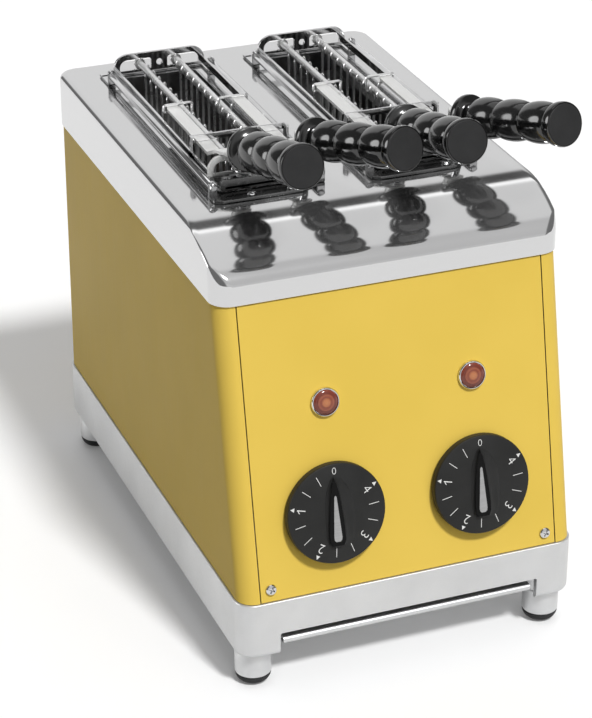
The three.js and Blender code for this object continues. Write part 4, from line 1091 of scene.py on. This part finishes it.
def kept_parts():
    """Solids whose shape is right keep it and take their finish."""
    finishes = ((GOLD, ("front_panel", "back_panel")), (SHEET, ("front_bulkhead", "rear_bulkhead")),
                (BRIGHT, ("slot_collar_left", "slot_collar_right", "timer_shaft_left", "timer_shaft_right")),
                (CREAM, ("terminal_block", "timer_body_left", "timer_body_right")))
    for finish, names in finishes:
        for name in names:
            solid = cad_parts[name]
            for slot in solid.material_slots:
                slot.material = finish
            if not solid.material_slots:
                solid.data.materials.append(finish)


base_casting()
feet()
crumb_tray()
shell_side()
top_cover()
slot_rails()
heaters()
timer_knobs()
lamps()
panel_screws()
gland()
tongs()
kept_parts()


# Floor, light and camera


def floor():
    only()
    bpy.ops.mesh.primitive_plane_add(size=14)
    ground = bpy.context.object
    ground.name = "studio_floor"
    ground.data.materials.append(pale_floor())


def sun():
    bpy.ops.object.light_add(type="SUN")
    light = bpy.context.object
    light.name = "key_sun"
    light.data.energy = 2.5
    light.data.angle = math.radians(8)
    light.rotation_euler = Vector((-40, 190, -270)).to_track_quat("-Z", "Y").to_euler()


def studio():
    """Bands of light and dark from front to back, and white where the camera looks."""
    world = bpy.data.worlds.new("studio")
    bpy.context.scene.world = world
    world.use_nodes = True
    world.node_tree.nodes.clear()
    nodes = Nodes(world.node_tree)
    way = nodes.node("ShaderNodeTexCoord", output="Generated")
    axes = nodes.node("ShaderNodeSeparateXYZ", None, [way]).socket.node.outputs
    x, y, z = (Signal(nodes, socket) for socket in axes)
    # From 0 in front over 0.5 above to 1 behind
    turn = nodes.math("ARCTAN2", z, y * -1.0) / math.pi
    shades = [(0.0, 0.75), (0.1, 0.75), (0.15, 0.65), (0.42, 0.65), (0.46, 0.85), (0.7, 0.88), (0.712, 1.6),
              (0.722, 1.6), (0.73, 0.08), (0.775, 0.09), (0.795, 0.88), (0.92, 0.9), (1.0, 0.95)]
    stops = [(position, (shade,) * 3) for position, shade in shades]
    bands = nodes.node("ShaderNodeValToRGB", {"stops": stops}, [turn])
    # The bands fade into dark walls on the left and the right
    aside = nodes.math("ABSOLUTE", x - 0.12)
    walls = nodes.between(aside, 0.3, 0.5, kind="SMOOTHSTEP")
    room = nodes.blend(walls, bands, (0.16, 0.16, 0.16))
    # A bright lamp at the left that only polished faces see
    lamp_way = Vector((-0.88, 0.3, 0.27)).normalized()
    towards = nodes.node("ShaderNodeVectorMath", {"operation": "DOT_PRODUCT"}, [way, lamp_way], "Value")
    softbox = nodes.between(towards, 0.95, 0.972, kind="SMOOTHSTEP") * nodes.ray("Glossy")
    room = nodes.blend(softbox, room, (5.0, 5.0, 5.0))
    room = nodes.node("ShaderNodeBackground", None, {"Color": room, "Strength": 1.0})
    white = nodes.node("ShaderNodeBackground", None, {"Color": (1.0, 1.0, 1.0), "Strength": 1.0})
    both = nodes.node("ShaderNodeMixShader", None, [nodes.ray("Camera"), room, white])
    nodes.node("ShaderNodeOutputWorld", None, {"Surface": both})


def camera():
    """The camera fitted to the photo: its place, its angles and its focal length in pixels."""
    azimuth, elevation, focal, picture_height, sensor = 21.307, 27.285, 2594.87, 718, 36
    bpy.ops.object.camera_add(location=Vector((-549.0, -1389.34, 891.47)) * MM)
    eye = bpy.context.object
    eye.name = "photo_camera"
    eye.rotation_euler = (math.pi / 2 - math.radians(elevation), 0, -math.radians(azimuth))
    eye.data.lens = focal / picture_height * sensor
    eye.data.clip_start, eye.data.clip_end = 0.05, 60
    bpy.context.scene.camera = eye


floor()
sun()
studio()
camera()
bpy.context.scene.view_settings.view_transform = "Standard"
